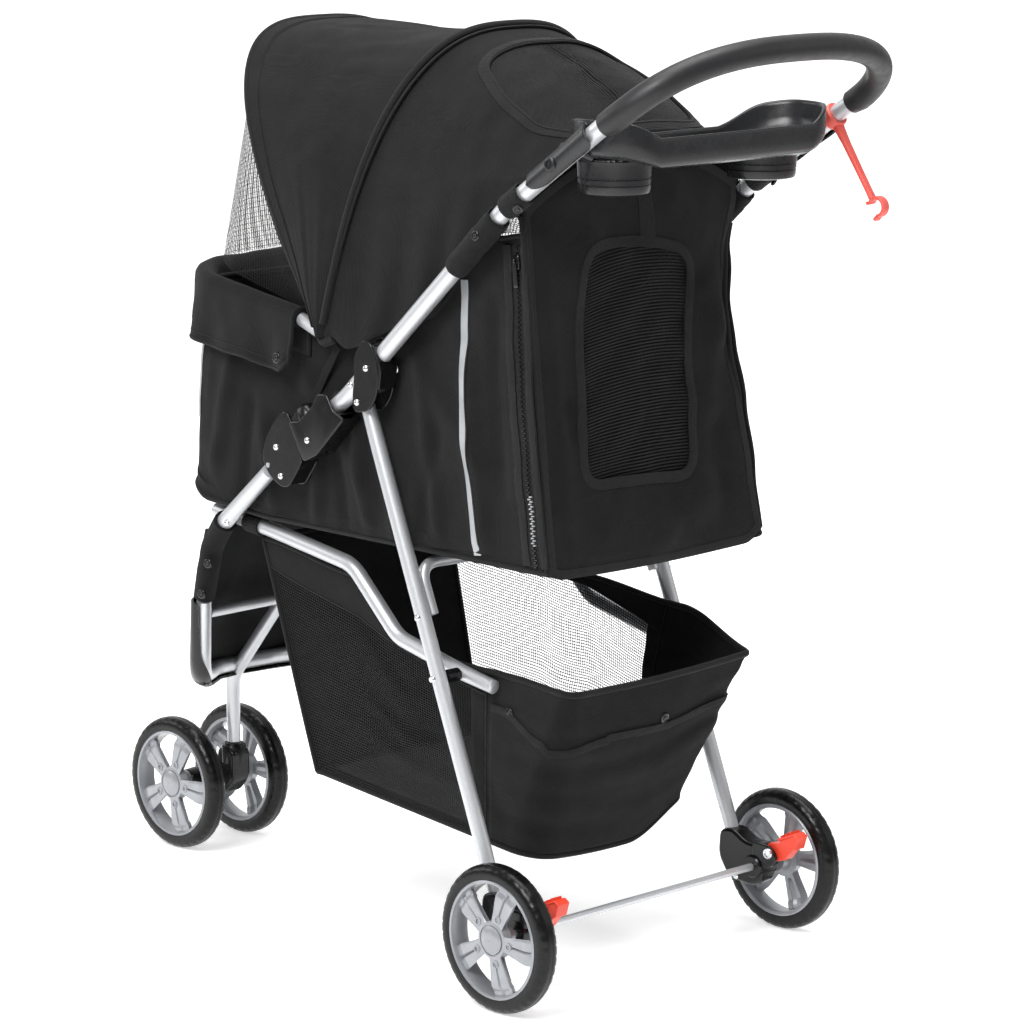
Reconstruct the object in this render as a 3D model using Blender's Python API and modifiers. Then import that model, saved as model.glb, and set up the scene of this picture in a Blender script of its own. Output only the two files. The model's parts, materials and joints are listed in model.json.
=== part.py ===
"""Folding pet stroller: three-point chassis, soft cabin with a two-bow hood, mesh basket and parent tray.

Metres, +Z up. +X is the stroller's left, +Y its rear (the handle side), so it travels towards -Y.
The origin is on the floor, under the centre of the stroller's box.
"""

from math import atan2, cos, hypot, pi, radians, sin

import bmesh
import bpy
from mathutils import Matrix, Vector

# ---- driving dimensions ----------------------------------------------------
GAP = 0.0003                      # running gap between neighbours
LEFT, RIGHT = 1, -1
SIDES = (("left", LEFT), ("right", RIGHT))

WHEEL_R = 0.075
WHEEL_W = 0.024
RIM_R = 0.060
REAR_TRACK_X = 0.2077             # centre of a rear wheel
FRONT_TRACK_X = 0.0467            # centre of a front twin wheel
REAR_AXLE_Y = 0.2875
FRONT_AXLE_Y = -0.4015
SWIVEL_Y = -0.3585                # caster swivel axis
AXLE_R = 0.004

TUBE_R = 0.009                    # push tube and front legs
LEG_R = 0.008                     # rear legs, rails and caster stem
BRACE_R = 0.006                   # cross members
GRIP_R = 0.013                    # foam sleeve of the handle

TUBE_X = 0.1745                   # push tube
LEG_X = 0.1736                    # rear legs
RAIL_X = 0.140                    # side rails
PLATE = 0.0025                    # sheet thickness of the brackets
PLATE_OUT_X = TUBE_X + TUBE_R + GAP + PLATE / 2
PLATE_IN_X = TUBE_X - TUBE_R - GAP - PLATE / 2

# pivots of the folding four-bar in the side view, as (y, z)
FOLD_A = (-0.0755, 0.4985)        # push tube on the front frame
FOLD_B = (0.0615, 0.5800)         # rear leg on the push tube's bracket
FOLD_C = (0.1660, 0.3115)         # side rail on the rear leg
FOLD_D = (-0.1810, 0.4195)        # side rail beside the front leg, the pivot left open
HOOD_PIVOT = (-0.0025, 0.6320)
GRIP_END = (0.3950, 0.8790)       # where the foam begins
HANDLE_REAR_Y = 0.4930            # rearmost point of the handle
DATUM_Y = 0.00845                 # the box's middle, seen from the drawing's datum: moved to the origin last

CABIN_X = 0.150                   # half width of the cabin
CABIN_FRONT_Y = -0.248
CABIN_REAR_Y = 0.303
CABIN_FLOOR_Z = 0.4345
FABRIC = 0.0022                   # thickness of the soft shells

COLLECTION = "pet_stroller"
CUTTERS = "cutters"


# ---- scene and materials ---------------------------------------------------
def start():
    for obj in list(bpy.data.objects):
        bpy.data.objects.remove(obj)
    for name in (COLLECTION, CUTTERS):
        collection = bpy.data.collections.get(name) or bpy.data.collections.new(name)
        if name not in bpy.context.scene.collection.children:
            bpy.context.scene.collection.children.link(collection)


FINISHES = {
    "satin_tube": ((0.62, 0.63, 0.65), 0.34, 0.9),
    "black_plastic": ((0.022, 0.022, 0.024), 0.38, 0.0),
    "tray_plastic": ((0.060, 0.062, 0.066), 0.36, 0.0),
    "foam": ((0.030, 0.030, 0.032), 0.75, 0.0),
    "tyre": ((0.020, 0.020, 0.022), 0.42, 0.0),
    "rim_grey": ((0.33, 0.34, 0.36), 0.32, 0.3),
    "brake_red": ((0.80, 0.060, 0.030), 0.40, 0.0),
    "lock_red": ((0.78, 0.110, 0.090), 0.42, 0.0),
    "fabric": ((0.026, 0.026, 0.028), 0.85, 0.0),
    "mesh": ((0.035, 0.035, 0.038), 0.80, 0.0),
    "board": ((0.05, 0.05, 0.05), 0.80, 0.0),
    "steel": ((0.70, 0.70, 0.72), 0.25, 1.0),
}


def finish(obj, slot):
    color, roughness, metallic = FINISHES[slot]
    material = bpy.data.materials.new(obj.name + "_" + slot)
    material.use_nodes = True
    shader = material.node_tree.nodes["Principled BSDF"]
    shader.inputs["Base Color"].default_value = (*color, 1.0)
    shader.inputs["Roughness"].default_value = roughness
    shader.inputs["Metallic"].default_value = metallic
    obj.data.materials.clear()
    obj.data.materials.append(material)


def link(obj, collection=COLLECTION):
    bpy.data.collections[collection].objects.link(obj)
    return obj


def evaluated_copy(obj):
    """A plain mesh of what the viewport shows, with loose caps welded on."""
    bpy.context.view_layer.update()
    graph = bpy.context.evaluated_depsgraph_get()
    mesh = bpy.data.meshes.new_from_object(obj.evaluated_get(graph))
    edit = bmesh.new()
    edit.from_mesh(mesh)
    bmesh.ops.remove_doubles(edit, verts=edit.verts, dist=0.00001)
    edit.to_mesh(mesh)
    edit.free()
    return mesh


def made_mesh(obj):
    """Replaces a curve or a modified object with a mesh object of the same name and place."""
    name = obj.name
    mesh = evaluated_copy(obj)
    place = obj.matrix_world.copy()
    bpy.data.objects.remove(obj)
    new = bpy.data.objects.new(name, mesh)
    new.matrix_world = place
    return link(new)


def carve(obj, cutters, operation="DIFFERENCE"):
    """Cuts obj with, or joins it to, solids that are then removed."""
    for cutter in cutters:
        modifier = obj.modifiers.new("carve", "BOOLEAN")
        modifier.operation = operation
        modifier.solver = "EXACT"
        modifier.object = cutter
    result = made_mesh(obj)
    for cutter in cutters:
        bpy.data.objects.remove(cutter)
    return result


# ---- modelling tools -------------------------------------------------------
def arc(first, corner, last, t):
    """A point at t along the curve from first to last that is drawn towards the corner between them."""
    return (1 - t) ** 2 * first + 2 * t * (1 - t) * corner + t * t * last


def rounded(points, radius, steps=3):
    """The points of a bent tube: each inner corner becomes a bend of about the given radius."""
    points = [Vector(p) for p in points]
    path = [points[0]]
    for before, corner, after in zip(points, points[1:], points[2:]):
        a = (before - corner).normalized()
        b = (after - corner).normalized()
        half = a.angle(b) / 2
        room = 0.45 * min((before - corner).length, (after - corner).length)
        reach = min(radius * cos(half) / sin(half), room)
        for i in range(steps + 1):
            path.append(arc(corner + a * reach, corner, corner + b * reach, i / steps))
    path.append(points[-1])
    return path


def mirrored(points):
    """A symmetric path: the left half's points, then the same points on the right."""
    right = [Vector((-p[0], p[1], p[2])) for p in reversed(points) if abs(p[0]) > 1e-6]
    return [Vector(p) for p in points] + right


def tube(name, path, radius, slot, sides=10, caps=True):
    curve = bpy.data.curves.new(name, "CURVE")
    curve.dimensions = "3D"
    curve.bevel_depth = radius
    curve.bevel_resolution = (sides - 4) // 2
    curve.use_fill_caps = caps
    curve.resolution_u = 1
    spline = curve.splines.new("POLY")
    spline.points.add(len(path) - 1)
    for point, place in zip(spline.points, path):
        point.co = (*place, 1.0)
    obj = link(bpy.data.objects.new(name, curve))
    finish(obj, slot)
    return obj


def sleeve(name, path, outer, inner, slot, sides=10):
    """A hollow tube: an open skin of the outer radius, thickened inwards."""
    obj = made_mesh(tube(name, path, outer, slot, sides, caps=False))
    solid = obj.modifiers.new("wall", "SOLIDIFY")
    solid.thickness = outer - inner
    solid.offset = -1
    finish(obj, slot)
    return obj


SIDE_VIEW = Matrix(((0, 0, 1, 0), (1, 0, 0, 0), (0, 1, 0, 0), (0, 0, 0, 1)))


def plate(name, outline, thickness, x, slot, holes=(), bevel=0.0):
    """A flat piece in the side view: an outline in (y, z) extruded about the plane at x, with round holes."""
    curve = bpy.data.curves.new(name, "CURVE")
    curve.dimensions = "2D"
    curve.fill_mode = "BOTH"
    curve.extrude = thickness / 2 - bevel
    curve.bevel_depth = bevel
    curve.bevel_resolution = 0
    curve.offset = -bevel
    loops = [outline]
    turn = [2 * pi * i / 8 for i in range(8)]
    for y, z, radius in holes:
        loops.append([(y + radius * cos(a), z - radius * sin(a)) for a in turn])
    for loop in loops:
        spline = curve.splines.new("POLY")
        spline.use_cyclic_u = True
        spline.points.add(len(loop) - 1)
        for point, (y, z) in zip(spline.points, loop):
            point.co = (y, z, 0, 1)
    obj = link(bpy.data.objects.new(name, curve))
    obj.matrix_world = Matrix.Translation((x, 0, 0)) @ SIDE_VIEW
    finish(obj, slot)
    return obj


def round_corners(outline, radius, steps=2):
    """A closed outline in (y, z) with each corner rounded."""
    count = len(outline)
    result = []
    for i, corner in enumerate(outline):
        corner = Vector(corner)
        a = Vector(outline[i - 1]) - corner
        b = Vector(outline[(i + 1) % count]) - corner
        reach = min(radius, 0.45 * a.length, 0.45 * b.length)
        p, q = corner + a.normalized() * reach, corner + b.normalized() * reach
        result += [tuple(arc(p, corner, q, j / steps)) for j in range(steps + 1)]
    return result


def rod(name, start_at, end_at, radius, slot, sides=12):
    """A cylinder between two points."""
    start_at, end_at = Vector(start_at), Vector(end_at)
    run = end_at - start_at
    edit = bmesh.new()
    bmesh.ops.create_cone(edit, cap_ends=True, segments=sides, radius1=radius, radius2=radius,
                          depth=run.length)
    mesh = bpy.data.meshes.new(name)
    edit.to_mesh(mesh)
    edit.free()
    obj = link(bpy.data.objects.new(name, mesh))
    turn = run.to_track_quat("Z", "Y").to_matrix().to_4x4()
    obj.matrix_world = Matrix.Translation((start_at + end_at) / 2) @ turn
    finish(obj, slot)
    return obj


def block(name, low, high, slot, bevel=0.0):
    """A box between two corners, its edges bevelled."""
    low, high = Vector(low), Vector(high)
    edit = bmesh.new()
    bmesh.ops.create_cube(edit, size=1.0)
    bmesh.ops.scale(edit, vec=high - low, verts=edit.verts)
    mesh = bpy.data.meshes.new(name)
    edit.to_mesh(mesh)
    edit.free()
    obj = link(bpy.data.objects.new(name, mesh))
    obj.location = (low + high) / 2
    if bevel:
        edge = obj.modifiers.new("edge", "BEVEL")
        edge.width = bevel
        edge.segments = 2
    finish(obj, slot)
    return obj


def turned(name, profile, slot, steps=30):
    """A ring turned about local Z from a closed profile of (radius, height) points."""
    mesh = bpy.data.meshes.new(name)
    count = len(profile)
    mesh.from_pydata([(r, 0, h) for r, h in profile], [(i, (i + 1) % count) for i in range(count)], [])
    obj = link(bpy.data.objects.new(name, mesh))
    screw = obj.modifiers.new("turn", "SCREW")
    screw.steps = steps
    screw.render_steps = steps
    screw.use_merge_vertices = True
    screw.merge_threshold = 0.00001
    finish(obj, slot)
    return obj


def loft(name, rings, slot, thickness=FABRIC, cyclic=False, floor=False, offset=-1.0):
    """A skin through rings of points, thickened to one side. A floor closes the first ring."""
    count = len(rings[0])
    verts = [tuple(p) for ring in rings for p in ring]
    faces = []
    for level in range(len(rings) - 1):
        for i in range(count if cyclic else count - 1):
            j = (i + 1) % count
            here, above = level * count, (level + 1) * count
            faces.append((here + i, here + j, above + j, above + i))
    if floor:
        faces.append(tuple(reversed(range(count))))
    mesh = bpy.data.meshes.new(name)
    mesh.from_pydata(verts, [], faces)
    mesh.shade_smooth()
    obj = link(bpy.data.objects.new(name, mesh))
    solid = obj.modifiers.new("cloth", "SOLIDIFY")
    solid.thickness = thickness
    solid.offset = offset
    solid.use_even_offset = True
    finish(obj, slot)
    return obj


def pivot(name, location, *children):
    """An empty on a joint's axis, which carries the moving pieces."""
    empty = link(bpy.data.objects.new(name, None))
    empty.empty_display_size = 0.02
    empty.location = location
    bpy.context.view_layer.update()
    for child in children:
        place = child.matrix_world.copy()
        child.parent = empty
        child.matrix_parent_inverse = empty.matrix_world.inverted()
        child.matrix_world = place
    return empty


def along(start_at, end_at, distance):
    """The point of the side view that lies a distance from start_at towards end_at."""
    dy, dz = end_at[0] - start_at[0], end_at[1] - start_at[1]
    length = hypot(dy, dz)
    return (start_at[0] + dy / length * distance, start_at[1] + dz / length * distance)


# ---- wheels ----------------------------------------------------------------
def tyre_mesh():
    half = WHEEL_W / 2
    seat = RIM_R + GAP
    profile = [(WHEEL_R, half - 0.006), (WHEEL_R, 0.006 - half), (WHEEL_R - 0.005, 0.001 - half),
               (seat, 0.001 - half), (seat, half - 0.001), (WHEEL_R - 0.005, half - 0.001)]
    obj = turned("tyre_form", profile, "tyre")
    mesh = evaluated_copy(obj)
    bpy.data.objects.remove(obj)
    return mesh


def rim_mesh():
    """A deep barrel, a web towards the outer side with five windows between the spokes, and a bored hub."""
    half = WHEEL_W / 2 - 0.0008
    barrel = RIM_R - 0.003
    hub, hub_half, bore = 0.0185, 0.0120, AXLE_R + GAP
    web_low, web_high = 0.0005, 0.0065
    profile = [(RIM_R, half), (RIM_R, -half), (barrel, -half), (barrel, web_low), (hub, web_low),
               (hub, -hub_half), (bore, -hub_half), (bore, hub_half), (hub, hub_half), (hub, web_high),
               (barrel, web_high), (barrel, half)]
    obj = turned("rim_form", profile, "rim_grey")
    cutters = []
    for i in range(5):
        middle = 2 * pi * (i + 0.5) / 5
        inner, outer = hub + 0.005, barrel - 0.0025
        spread = radians(24)
        loop = [(outer * cos(middle + a), outer * sin(middle + a)) for a in (-spread, 0, spread)]
        loop += [(inner * cos(middle + a), inner * sin(middle + a)) for a in (spread * 0.7, -spread * 0.7)]
        window = plate("window_%d" % i, loop, 0.03, 0, "rim_grey")
        window.matrix_world = Matrix.Identity(4)
        cutters.append(made_mesh(window))
    obj = carve(obj, cutters)
    mesh = obj.data
    bpy.data.objects.remove(obj)
    return mesh


def wheel(name, x, y, side, tyre, rim):
    """Tyre and rim of one wheel, its rim's web towards the outside of the stroller."""
    turn = Matrix.Translation((x, y, WHEEL_R)) @ Matrix.Rotation(side * pi / 2, 4, "Y")
    pieces = []
    for kind, mesh, slot in (("tyre", tyre, "tyre"), ("rim", rim, "rim_grey")):
        obj = link(bpy.data.objects.new(name + "_" + kind, mesh.copy()))
        obj.matrix_world = turn
        finish(obj, slot)
        pieces.append(obj)
    pivot(name + "_spin", (x, y, WHEEL_R), *pieces)


def wheels():
    tyre, rim = tyre_mesh(), rim_mesh()
    for label, side in SIDES:
        wheel("rear_" + label, side * REAR_TRACK_X, REAR_AXLE_Y, side, tyre, rim)
        wheel("front_" + label, side * FRONT_TRACK_X, FRONT_AXLE_Y, side, tyre, rim)


# ---- rear frame ------------------------------------------------------------
LEG_FOOT = (0.2500, 0.0980)       # the rear leg's lower end, inside its housing
PIN_R = 0.0028                    # rivets that the frame folds on


def pin_hole(place):
    """A cutter right across the stroller for a rivet at a (y, z) of the side view."""
    return rod("pin_hole", (-0.25, *place), (0.25, *place), PIN_R + GAP, "steel")


def rear_frame():
    for label, side in SIDES:
        top = along(FOLD_B, LEG_FOOT, -0.0060)
        ends = [(side * LEG_X, *top), (side * LEG_X, *LEG_FOOT)]
        leg = made_mesh(tube("rear_leg_" + label, ends, LEG_R, "satin_tube"))
        leg = carve(leg, [pin_hole(FOLD_B), pin_hole(FOLD_C)])
        finish(leg, "satin_tube")
    brace_x = LEG_X - LEG_R - BRACE_R - GAP
    foot = along(FOLD_B, LEG_FOOT, 0.225)
    knee = along(FOLD_B, LEG_FOOT, 0.165)
    level = 0.4195
    half = [(brace_x, *foot), (brace_x, knee[0], level), (0, knee[0] + 0.012, level)]
    path = mirrored(rounded(half, 0.03))
    tube("rear_brace", path, BRACE_R, "satin_tube")
    reach = REAR_TRACK_X + 0.0148
    rod("rear_axle", (-reach, REAR_AXLE_Y, WHEEL_R), (reach, REAR_AXLE_Y, WHEEL_R), AXLE_R, "satin_tube")
    for label, side in SIDES:
        axle_housing(label, side)
        brake_lever(label, side)


BRAKE_PIVOT = (0.3090, 0.0930)


def axle_housing(label, side):
    """The moulded foot of a rear leg: it takes the leg, the axle and the brake lever's pin."""
    outline = round_corners([(0.2370, 0.1160), (0.2600, 0.1220), (0.2800, 0.1020), (0.2975, 0.0990),
                             (0.2975, 0.0560), (0.2850, 0.0480), (0.2500, 0.0520), (0.2330, 0.0760)], 0.006)
    body = made_mesh(plate("axle_housing_" + label, outline, 0.023, side * LEG_X, "black_plastic"))
    cheek_line = round_corners([(0.2900, 0.1010), (0.3100, 0.1000), (0.3190, 0.0890), (0.3100, 0.0770),
                                (0.2900, 0.0760)], 0.005)
    cheek_x = side * (LEG_X - 0.0115 + 0.002)
    cheek = made_mesh(plate("cheek", cheek_line, 0.004, cheek_x, "black_plastic"))
    pin_end = side * (LEG_X + 0.0125)
    pin = rod("brake_pin", (cheek_x, *BRAKE_PIVOT), (pin_end, *BRAKE_PIVOT), 0.003, "black_plastic")
    body = carve(body, [cheek], "UNION")
    body = carve(body, [pin], "UNION")
    way_low, way_high = along(LEG_FOOT, FOLD_B, -GAP), along(LEG_FOOT, FOLD_B, 0.05)
    leg_way = rod("leg_way", (side * LEG_X, *way_low), (side * LEG_X, *way_high), LEG_R + 2 * GAP,
                  "black_plastic")
    axle_way = rod("axle_way", (side * 0.14, REAR_AXLE_Y, WHEEL_R), (side * 0.20, REAR_AXLE_Y, WHEEL_R),
                   AXLE_R + GAP, "black_plastic")
    body = carve(body, [leg_way, axle_way])
    finish(body, "black_plastic")


def brake_lever(label, side):
    """Red foot lever: a round eye on the housing's pin and a ribbed tread that points rearwards."""
    y, z = BRAKE_PIVOT
    eye_r = 0.0100
    eye = [(y + eye_r * cos(radians(d)), z + eye_r * sin(radians(d))) for d in range(75, 286, 30)]
    outline = eye + [(y + 0.0200, z - 0.0060), (y + 0.0400, z + 0.0170), (y + 0.0440, z + 0.0270),
                     (y + 0.0300, z + 0.0285), (y + 0.0120, z + 0.0170)]
    x = side * (LEG_X - 0.0115 + 0.004 + GAP + 0.008)
    lever = plate("brake_lever_" + label, outline, 0.016, x, "brake_red", holes=[(y, z, 0.0035)])
    pivot("brake_pivot_" + label, (side * LEG_X, *BRAKE_PIVOT), lever)


# ---- push frame ------------------------------------------------------------
PUSH_KNEE = (0.0350, 0.5825)
PUSH_BEND = (0.2620, 0.7890)


def grip_path():
    """The left half of the handle's loop, from the grip end to the middle."""
    y0, z0 = GRIP_END
    rise_y = HANDLE_REAR_Y - GRIP_R - y0
    rise_z = 0.0680
    path = []
    for i in range(8):
        t = radians(90) * i / 7
        x = TUBE_X * cos(t) ** 0.78 if i < 7 else 0.0
        path.append((x, y0 + rise_y * sin(t) ** 0.70, z0 + rise_z * sin(t) ** 0.87))
    return path


def push_frame():
    lower = rounded([(TUBE_X, *along(FOLD_A, PUSH_KNEE, -0.009)), (TUBE_X, *PUSH_KNEE), (TUBE_X, *PUSH_BEND),
                     (TUBE_X, *GRIP_END)], 0.12)
    path = mirrored(lower[:-1] + grip_path())
    handle = made_mesh(tube("push_handle_tube", path, TUBE_R, "satin_tube"))
    handle = carve(handle, [pin_hole(FOLD_A)])
    finish(handle, "satin_tube")
    sleeve("foam_grip", mirrored(grip_path()), GRIP_R, TUBE_R + 2 * GAP, "foam")
    for label, side in SIDES:
        upper_bracket(label, side)
        fold_latch(label, side)


def channel(name, outline, holes, side, web_low, web_high, slot="black_plastic"):
    """Two plates either side of a tube, joined by a web outside the tube, as one pressed channel."""
    outer = made_mesh(plate(name, outline, PLATE, side * PLATE_OUT_X, slot, holes))
    inner = made_mesh(plate("inner", outline, PLATE, side * PLATE_IN_X, slot, holes))
    mid_y, mid_z = (web_low[0] + web_high[0]) / 2, (web_low[1] + web_high[1]) / 2
    length = hypot(web_high[0] - web_low[0], web_high[1] - web_low[1])
    angle = atan2(web_high[1] - web_low[1], web_high[0] - web_low[0])
    width = PLATE_OUT_X - PLATE_IN_X + PLATE * 0.8
    web = block("web", (-width / 2, -length / 2, -0.0015), (width / 2, length / 2, 0.0015), slot)
    web.matrix_world = Matrix.Translation((side * TUBE_X, mid_y, mid_z)) @ Matrix.Rotation(angle, 4, "X")
    outer = carve(outer, [inner, web], "UNION")
    finish(outer, slot)
    return outer


def rivet(name, side, place):
    """The pin through a channel's two plates."""
    rod(name, (side * (PLATE_IN_X - 0.003), *place), (side * (PLATE_OUT_X + 0.003), *place), PIN_R, "steel")


def upper_bracket(label, side):
    """The blade that joins the rear leg's pivot to the push tube, riveted through the tube."""
    outline = round_corners([(0.0500, 0.5700), (0.0560, 0.5640), (0.0680, 0.5650), (0.0790, 0.5900),
                             (0.0760, 0.6180), (0.0560, 0.6480), (0.0420, 0.6500), (0.0480, 0.6100)], 0.008)
    hole = (*FOLD_B, PIN_R + GAP)
    channel("upper_bracket_" + label, outline, [hole], side, (0.0455, 0.6465), (0.0600, 0.6420))
    rivet("leg_pin_" + label, side, FOLD_B)


def fold_latch(label, side):
    """The sprung sleeve that slides up the push tube to free the fold."""
    low = (side * TUBE_X, *along(FOLD_A, PUSH_KNEE, 0.041))
    high = (side * TUBE_X, *along(FOLD_A, PUSH_KNEE, 0.104))
    body = sleeve("fold_latch_" + label, [low, high], 0.0140, TUBE_R + 2 * GAP, "black_plastic")
    pivot("latch_slide_" + label, low, body)


# ---- front frame -----------------------------------------------------------
LEG_SPLICE = (0.1450, -0.2320, 0.3280)      # where the front leg meets the U bar, under the fabric


def front_frame():
    top = along(FOLD_A, PUSH_KNEE, -0.0150)
    for label, side in SIDES:
        path = rounded([(side * TUBE_X, *top), (side * TUBE_X, -0.1080, 0.4750), (side * 0.1590, *FOLD_D),
                        (side * 0.1530, -0.2080, 0.3900), (side * LEG_SPLICE[0], *LEG_SPLICE[1:])], 0.05, 3)
        tube("front_leg_" + label, path, TUBE_R, "satin_tube")
        fold_bracket(label, side)
    splice = (LEG_SPLICE[0] - 0.0003, LEG_SPLICE[1] - 0.0010, LEG_SPLICE[2] - 0.0026)
    half = [splice, (0.1370, -0.2470, 0.2440), (0.1000, -0.2850, 0.2330), (0.0400, -0.3470, 0.2280),
            (0, -0.3580, 0.2275)]
    tube("front_u_bar", mirrored(rounded(half, 0.045)), TUBE_R, "satin_tube")
    middle = Vector((0, -0.2710, 0.3010))
    half = [(0.1405 - TUBE_R, -0.2425, 0.3080), (0.0700, -0.2670, 0.3020), middle]
    tube("cross_tube", mirrored(rounded(half, 0.12)), BRACE_R, "satin_tube")
    lean = (Vector((0, SWIVEL_Y, 0.1980)) - middle).normalized()
    start_at = middle + lean * (BRACE_R + GAP)
    stem = rounded([start_at, (0, SWIVEL_Y, 0.1980), (0, SWIVEL_Y, 0.1215)], 0.04)
    tube("caster_stem", stem, LEG_R, "satin_tube")
    bumper()


def fold_bracket(label, side):
    """The fold's cheek plates, fixed to the front leg: the push tube turns between them."""
    outline = round_corners([(-0.1070, 0.4980), (-0.1010, 0.4760), (-0.0760, 0.4680),
                             (-0.0560, 0.4840), (-0.0480, 0.5060), (-0.0560, 0.5560),
                             (-0.0640, 0.5600), (-0.0900, 0.5400)], 0.008)
    hole = (*FOLD_A, PIN_R + GAP)
    channel("fold_bracket_" + label, outline, [hole], side, (-0.0880, 0.5360), (-0.0640, 0.5555))
    rivet("fold_pin_" + label, side, FOLD_A)


def bumper():
    """The plastic lip in front of the U bar: a strip that follows the bar's sweep."""
    half = [(0.1540, -0.2560, 0.3220), (0.1510, -0.2640, 0.2560), (0.1120, -0.3010, 0.2200),
            (0.0430, -0.3670, 0.2130), (0.0120, -0.3740, 0.2120)]
    lower = mirrored(rounded(half, 0.02))
    upper = [Vector((p.x * 0.97, p.y + 0.001, p.z + 0.022)) for p in lower]
    loft("front_bumper", [lower, upper], "black_plastic", thickness=0.003, offset=0)


# ---- caster ----------------------------------------------------------------
def caster():
    """The swivelling carrier of the twin front wheels: a socket under the stem and an arm to the axle."""
    outline = round_corners([(SWIVEL_Y + 0.013, 0.1205), (SWIVEL_Y + 0.013, 0.0800),
                             (SWIVEL_Y - 0.005, 0.0620), (FRONT_AXLE_Y + 0.005, 0.0600),
                             (FRONT_AXLE_Y - 0.014, 0.0660),
                             (FRONT_AXLE_Y - 0.014, 0.0860), (SWIVEL_Y - 0.016, 0.1000),
                             (SWIVEL_Y - 0.013, 0.1205)], 0.004)
    housing = made_mesh(plate("caster_housing", outline, 0.026, 0, "black_plastic"))
    way = rod("axle_way", (-0.05, FRONT_AXLE_Y, WHEEL_R), (0.05, FRONT_AXLE_Y, WHEEL_R), AXLE_R + GAP,
              "black_plastic")
    housing = carve(housing, [way])
    finish(housing, "black_plastic")
    reach = FRONT_TRACK_X + 0.0143
    axle = rod("caster_axle", (-reach, FRONT_AXLE_Y, WHEEL_R), (reach, FRONT_AXLE_Y, WHEEL_R), AXLE_R,
               "satin_tube")
    pivot("caster_swivel", (0, SWIVEL_Y, 0.1210), housing, axle)


# ---- side rails and basket ---------------------------------------------------
def side_rails():
    for label, side in SIDES:
        corners = [(-0.2170, 0.4270), (-0.1250, 0.4170), (0.0015, 0.3980), (0.0700, 0.3330), FOLD_C,
                   (0.2120, 0.3040)]
        path = rounded([(side * RAIL_X, y, z) for y, z in corners], 0.045, 3)
        rail = made_mesh(tube("side_rail_" + label, path, LEG_R, "satin_tube"))
        rail = carve(rail, [pin_hole(FOLD_C)])
        finish(rail, "satin_tube")
        inner, outer = side * (RAIL_X + LEG_R + GAP), side * (LEG_X - LEG_R - GAP)
        spacer = rod("rail_spacer_" + label, (inner, *FOLD_C), (outer, *FOLD_C), 0.0070, "black_plastic")
        spacer = carve(spacer, [pin_hole(FOLD_C)])
        finish(spacer, "black_plastic")
        inner, outer = side * (RAIL_X - LEG_R + 0.001), side * (LEG_X + LEG_R + 0.003)
        rod("rail_pin_" + label, (inner, *FOLD_C), (outer, *FOLD_C), PIN_R, "steel")
        pivot("rail_pivot_" + label, (side * RAIL_X, *FOLD_C), rail)


def ring_of(x, front, rear, corner):
    """A closed line seen from above: a rounded rectangle as (x, y) points."""
    corners = [(x, front), (x, rear), (-x, rear), (-x, front)]
    points = []
    for i, here in enumerate(corners):
        here = Vector(here)
        before, after = Vector(corners[i - 1]), Vector(corners[(i + 1) % 4])
        p = here + (before - here).normalized() * corner
        q = here + (after - here).normalized() * corner
        points += [arc(p, here, q, j / 2) for j in range(3)]
        run = (after + (here - after).normalized() * corner) - q
        points += [q + run * j / 5 for j in range(1, 5)]
    return points


def tub_ring(x, front, rear, corner, floor, rim, t):
    """The ring at a share t of the way up a tub's wall, between its floor's height and its rim's."""
    return [(p.x, p.y, floor(p) * (1 - t) + rim(p) * t) for p in ring_of(x, front, rear, corner)]


def between(y, table):
    """Linear interpolation in a short table of (y, value)."""
    if y <= table[0][0]:
        return table[0][1]
    for (y0, v0), (y1, v1) in zip(table, table[1:]):
        if y <= y1:
            return v0 + (v1 - v0) * (y - y0) / (y1 - y0)
    return table[-1][1]


def basket_rim(p):
    return between(p.y, [(-0.148, 0.404), (0.000, 0.385), (0.080, 0.325), (0.300, 0.312)])


def basket_floor(p):
    return between(p.y, [(-0.070, 0.160), (0.240, 0.131)])


def basket():
    x_floor, x_rim = 0.120, RAIL_X - LEG_R - 0.0012
    rings = []
    levels = 5
    for i in range(levels):
        t = i / (levels - 1)
        front = -0.080 + (-0.148 + 0.080) * t
        rear = 0.246 + (0.312 - 0.246) * t
        x = x_floor + (x_rim - x_floor) * t
        rings.append(tub_ring(x, front, rear, 0.010, basket_floor, basket_rim, t))
    loft("basket", rings, "mesh", cyclic=True, floor=True)
    board = block("basket_board", (-0.112, -0.1415, -0.001), (0.112, 0.1415, 0.001), "board")
    tilt = atan2(0.131 - 0.160, 0.310)
    board.matrix_world = Matrix.Translation((0, 0.0865, 0.1495)) @ Matrix.Rotation(tilt, 4, "X")


# ---- cabin -----------------------------------------------------------------
def cabin_rim(p):
    """Height of the cabin wall's upper edge: down along the front bar, then up along the push tube."""
    side = between(p.y, [(-0.235, 0.676), (-0.030, 0.634), (0.030, 0.634), (0.120, 0.668), (0.262, 0.782)])
    if p.y > 0.20:
        return side + 0.050 * (1 - (p.x / CABIN_X) ** 2) * (p.y - 0.20) / 0.062
    return side


def cabin_floor(p):
    return between(p.y, [(-0.248, 0.4600), (-0.215, 0.4420), (-0.120, CABIN_FLOOR_Z), (0.300, CABIN_FLOOR_Z)])


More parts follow.
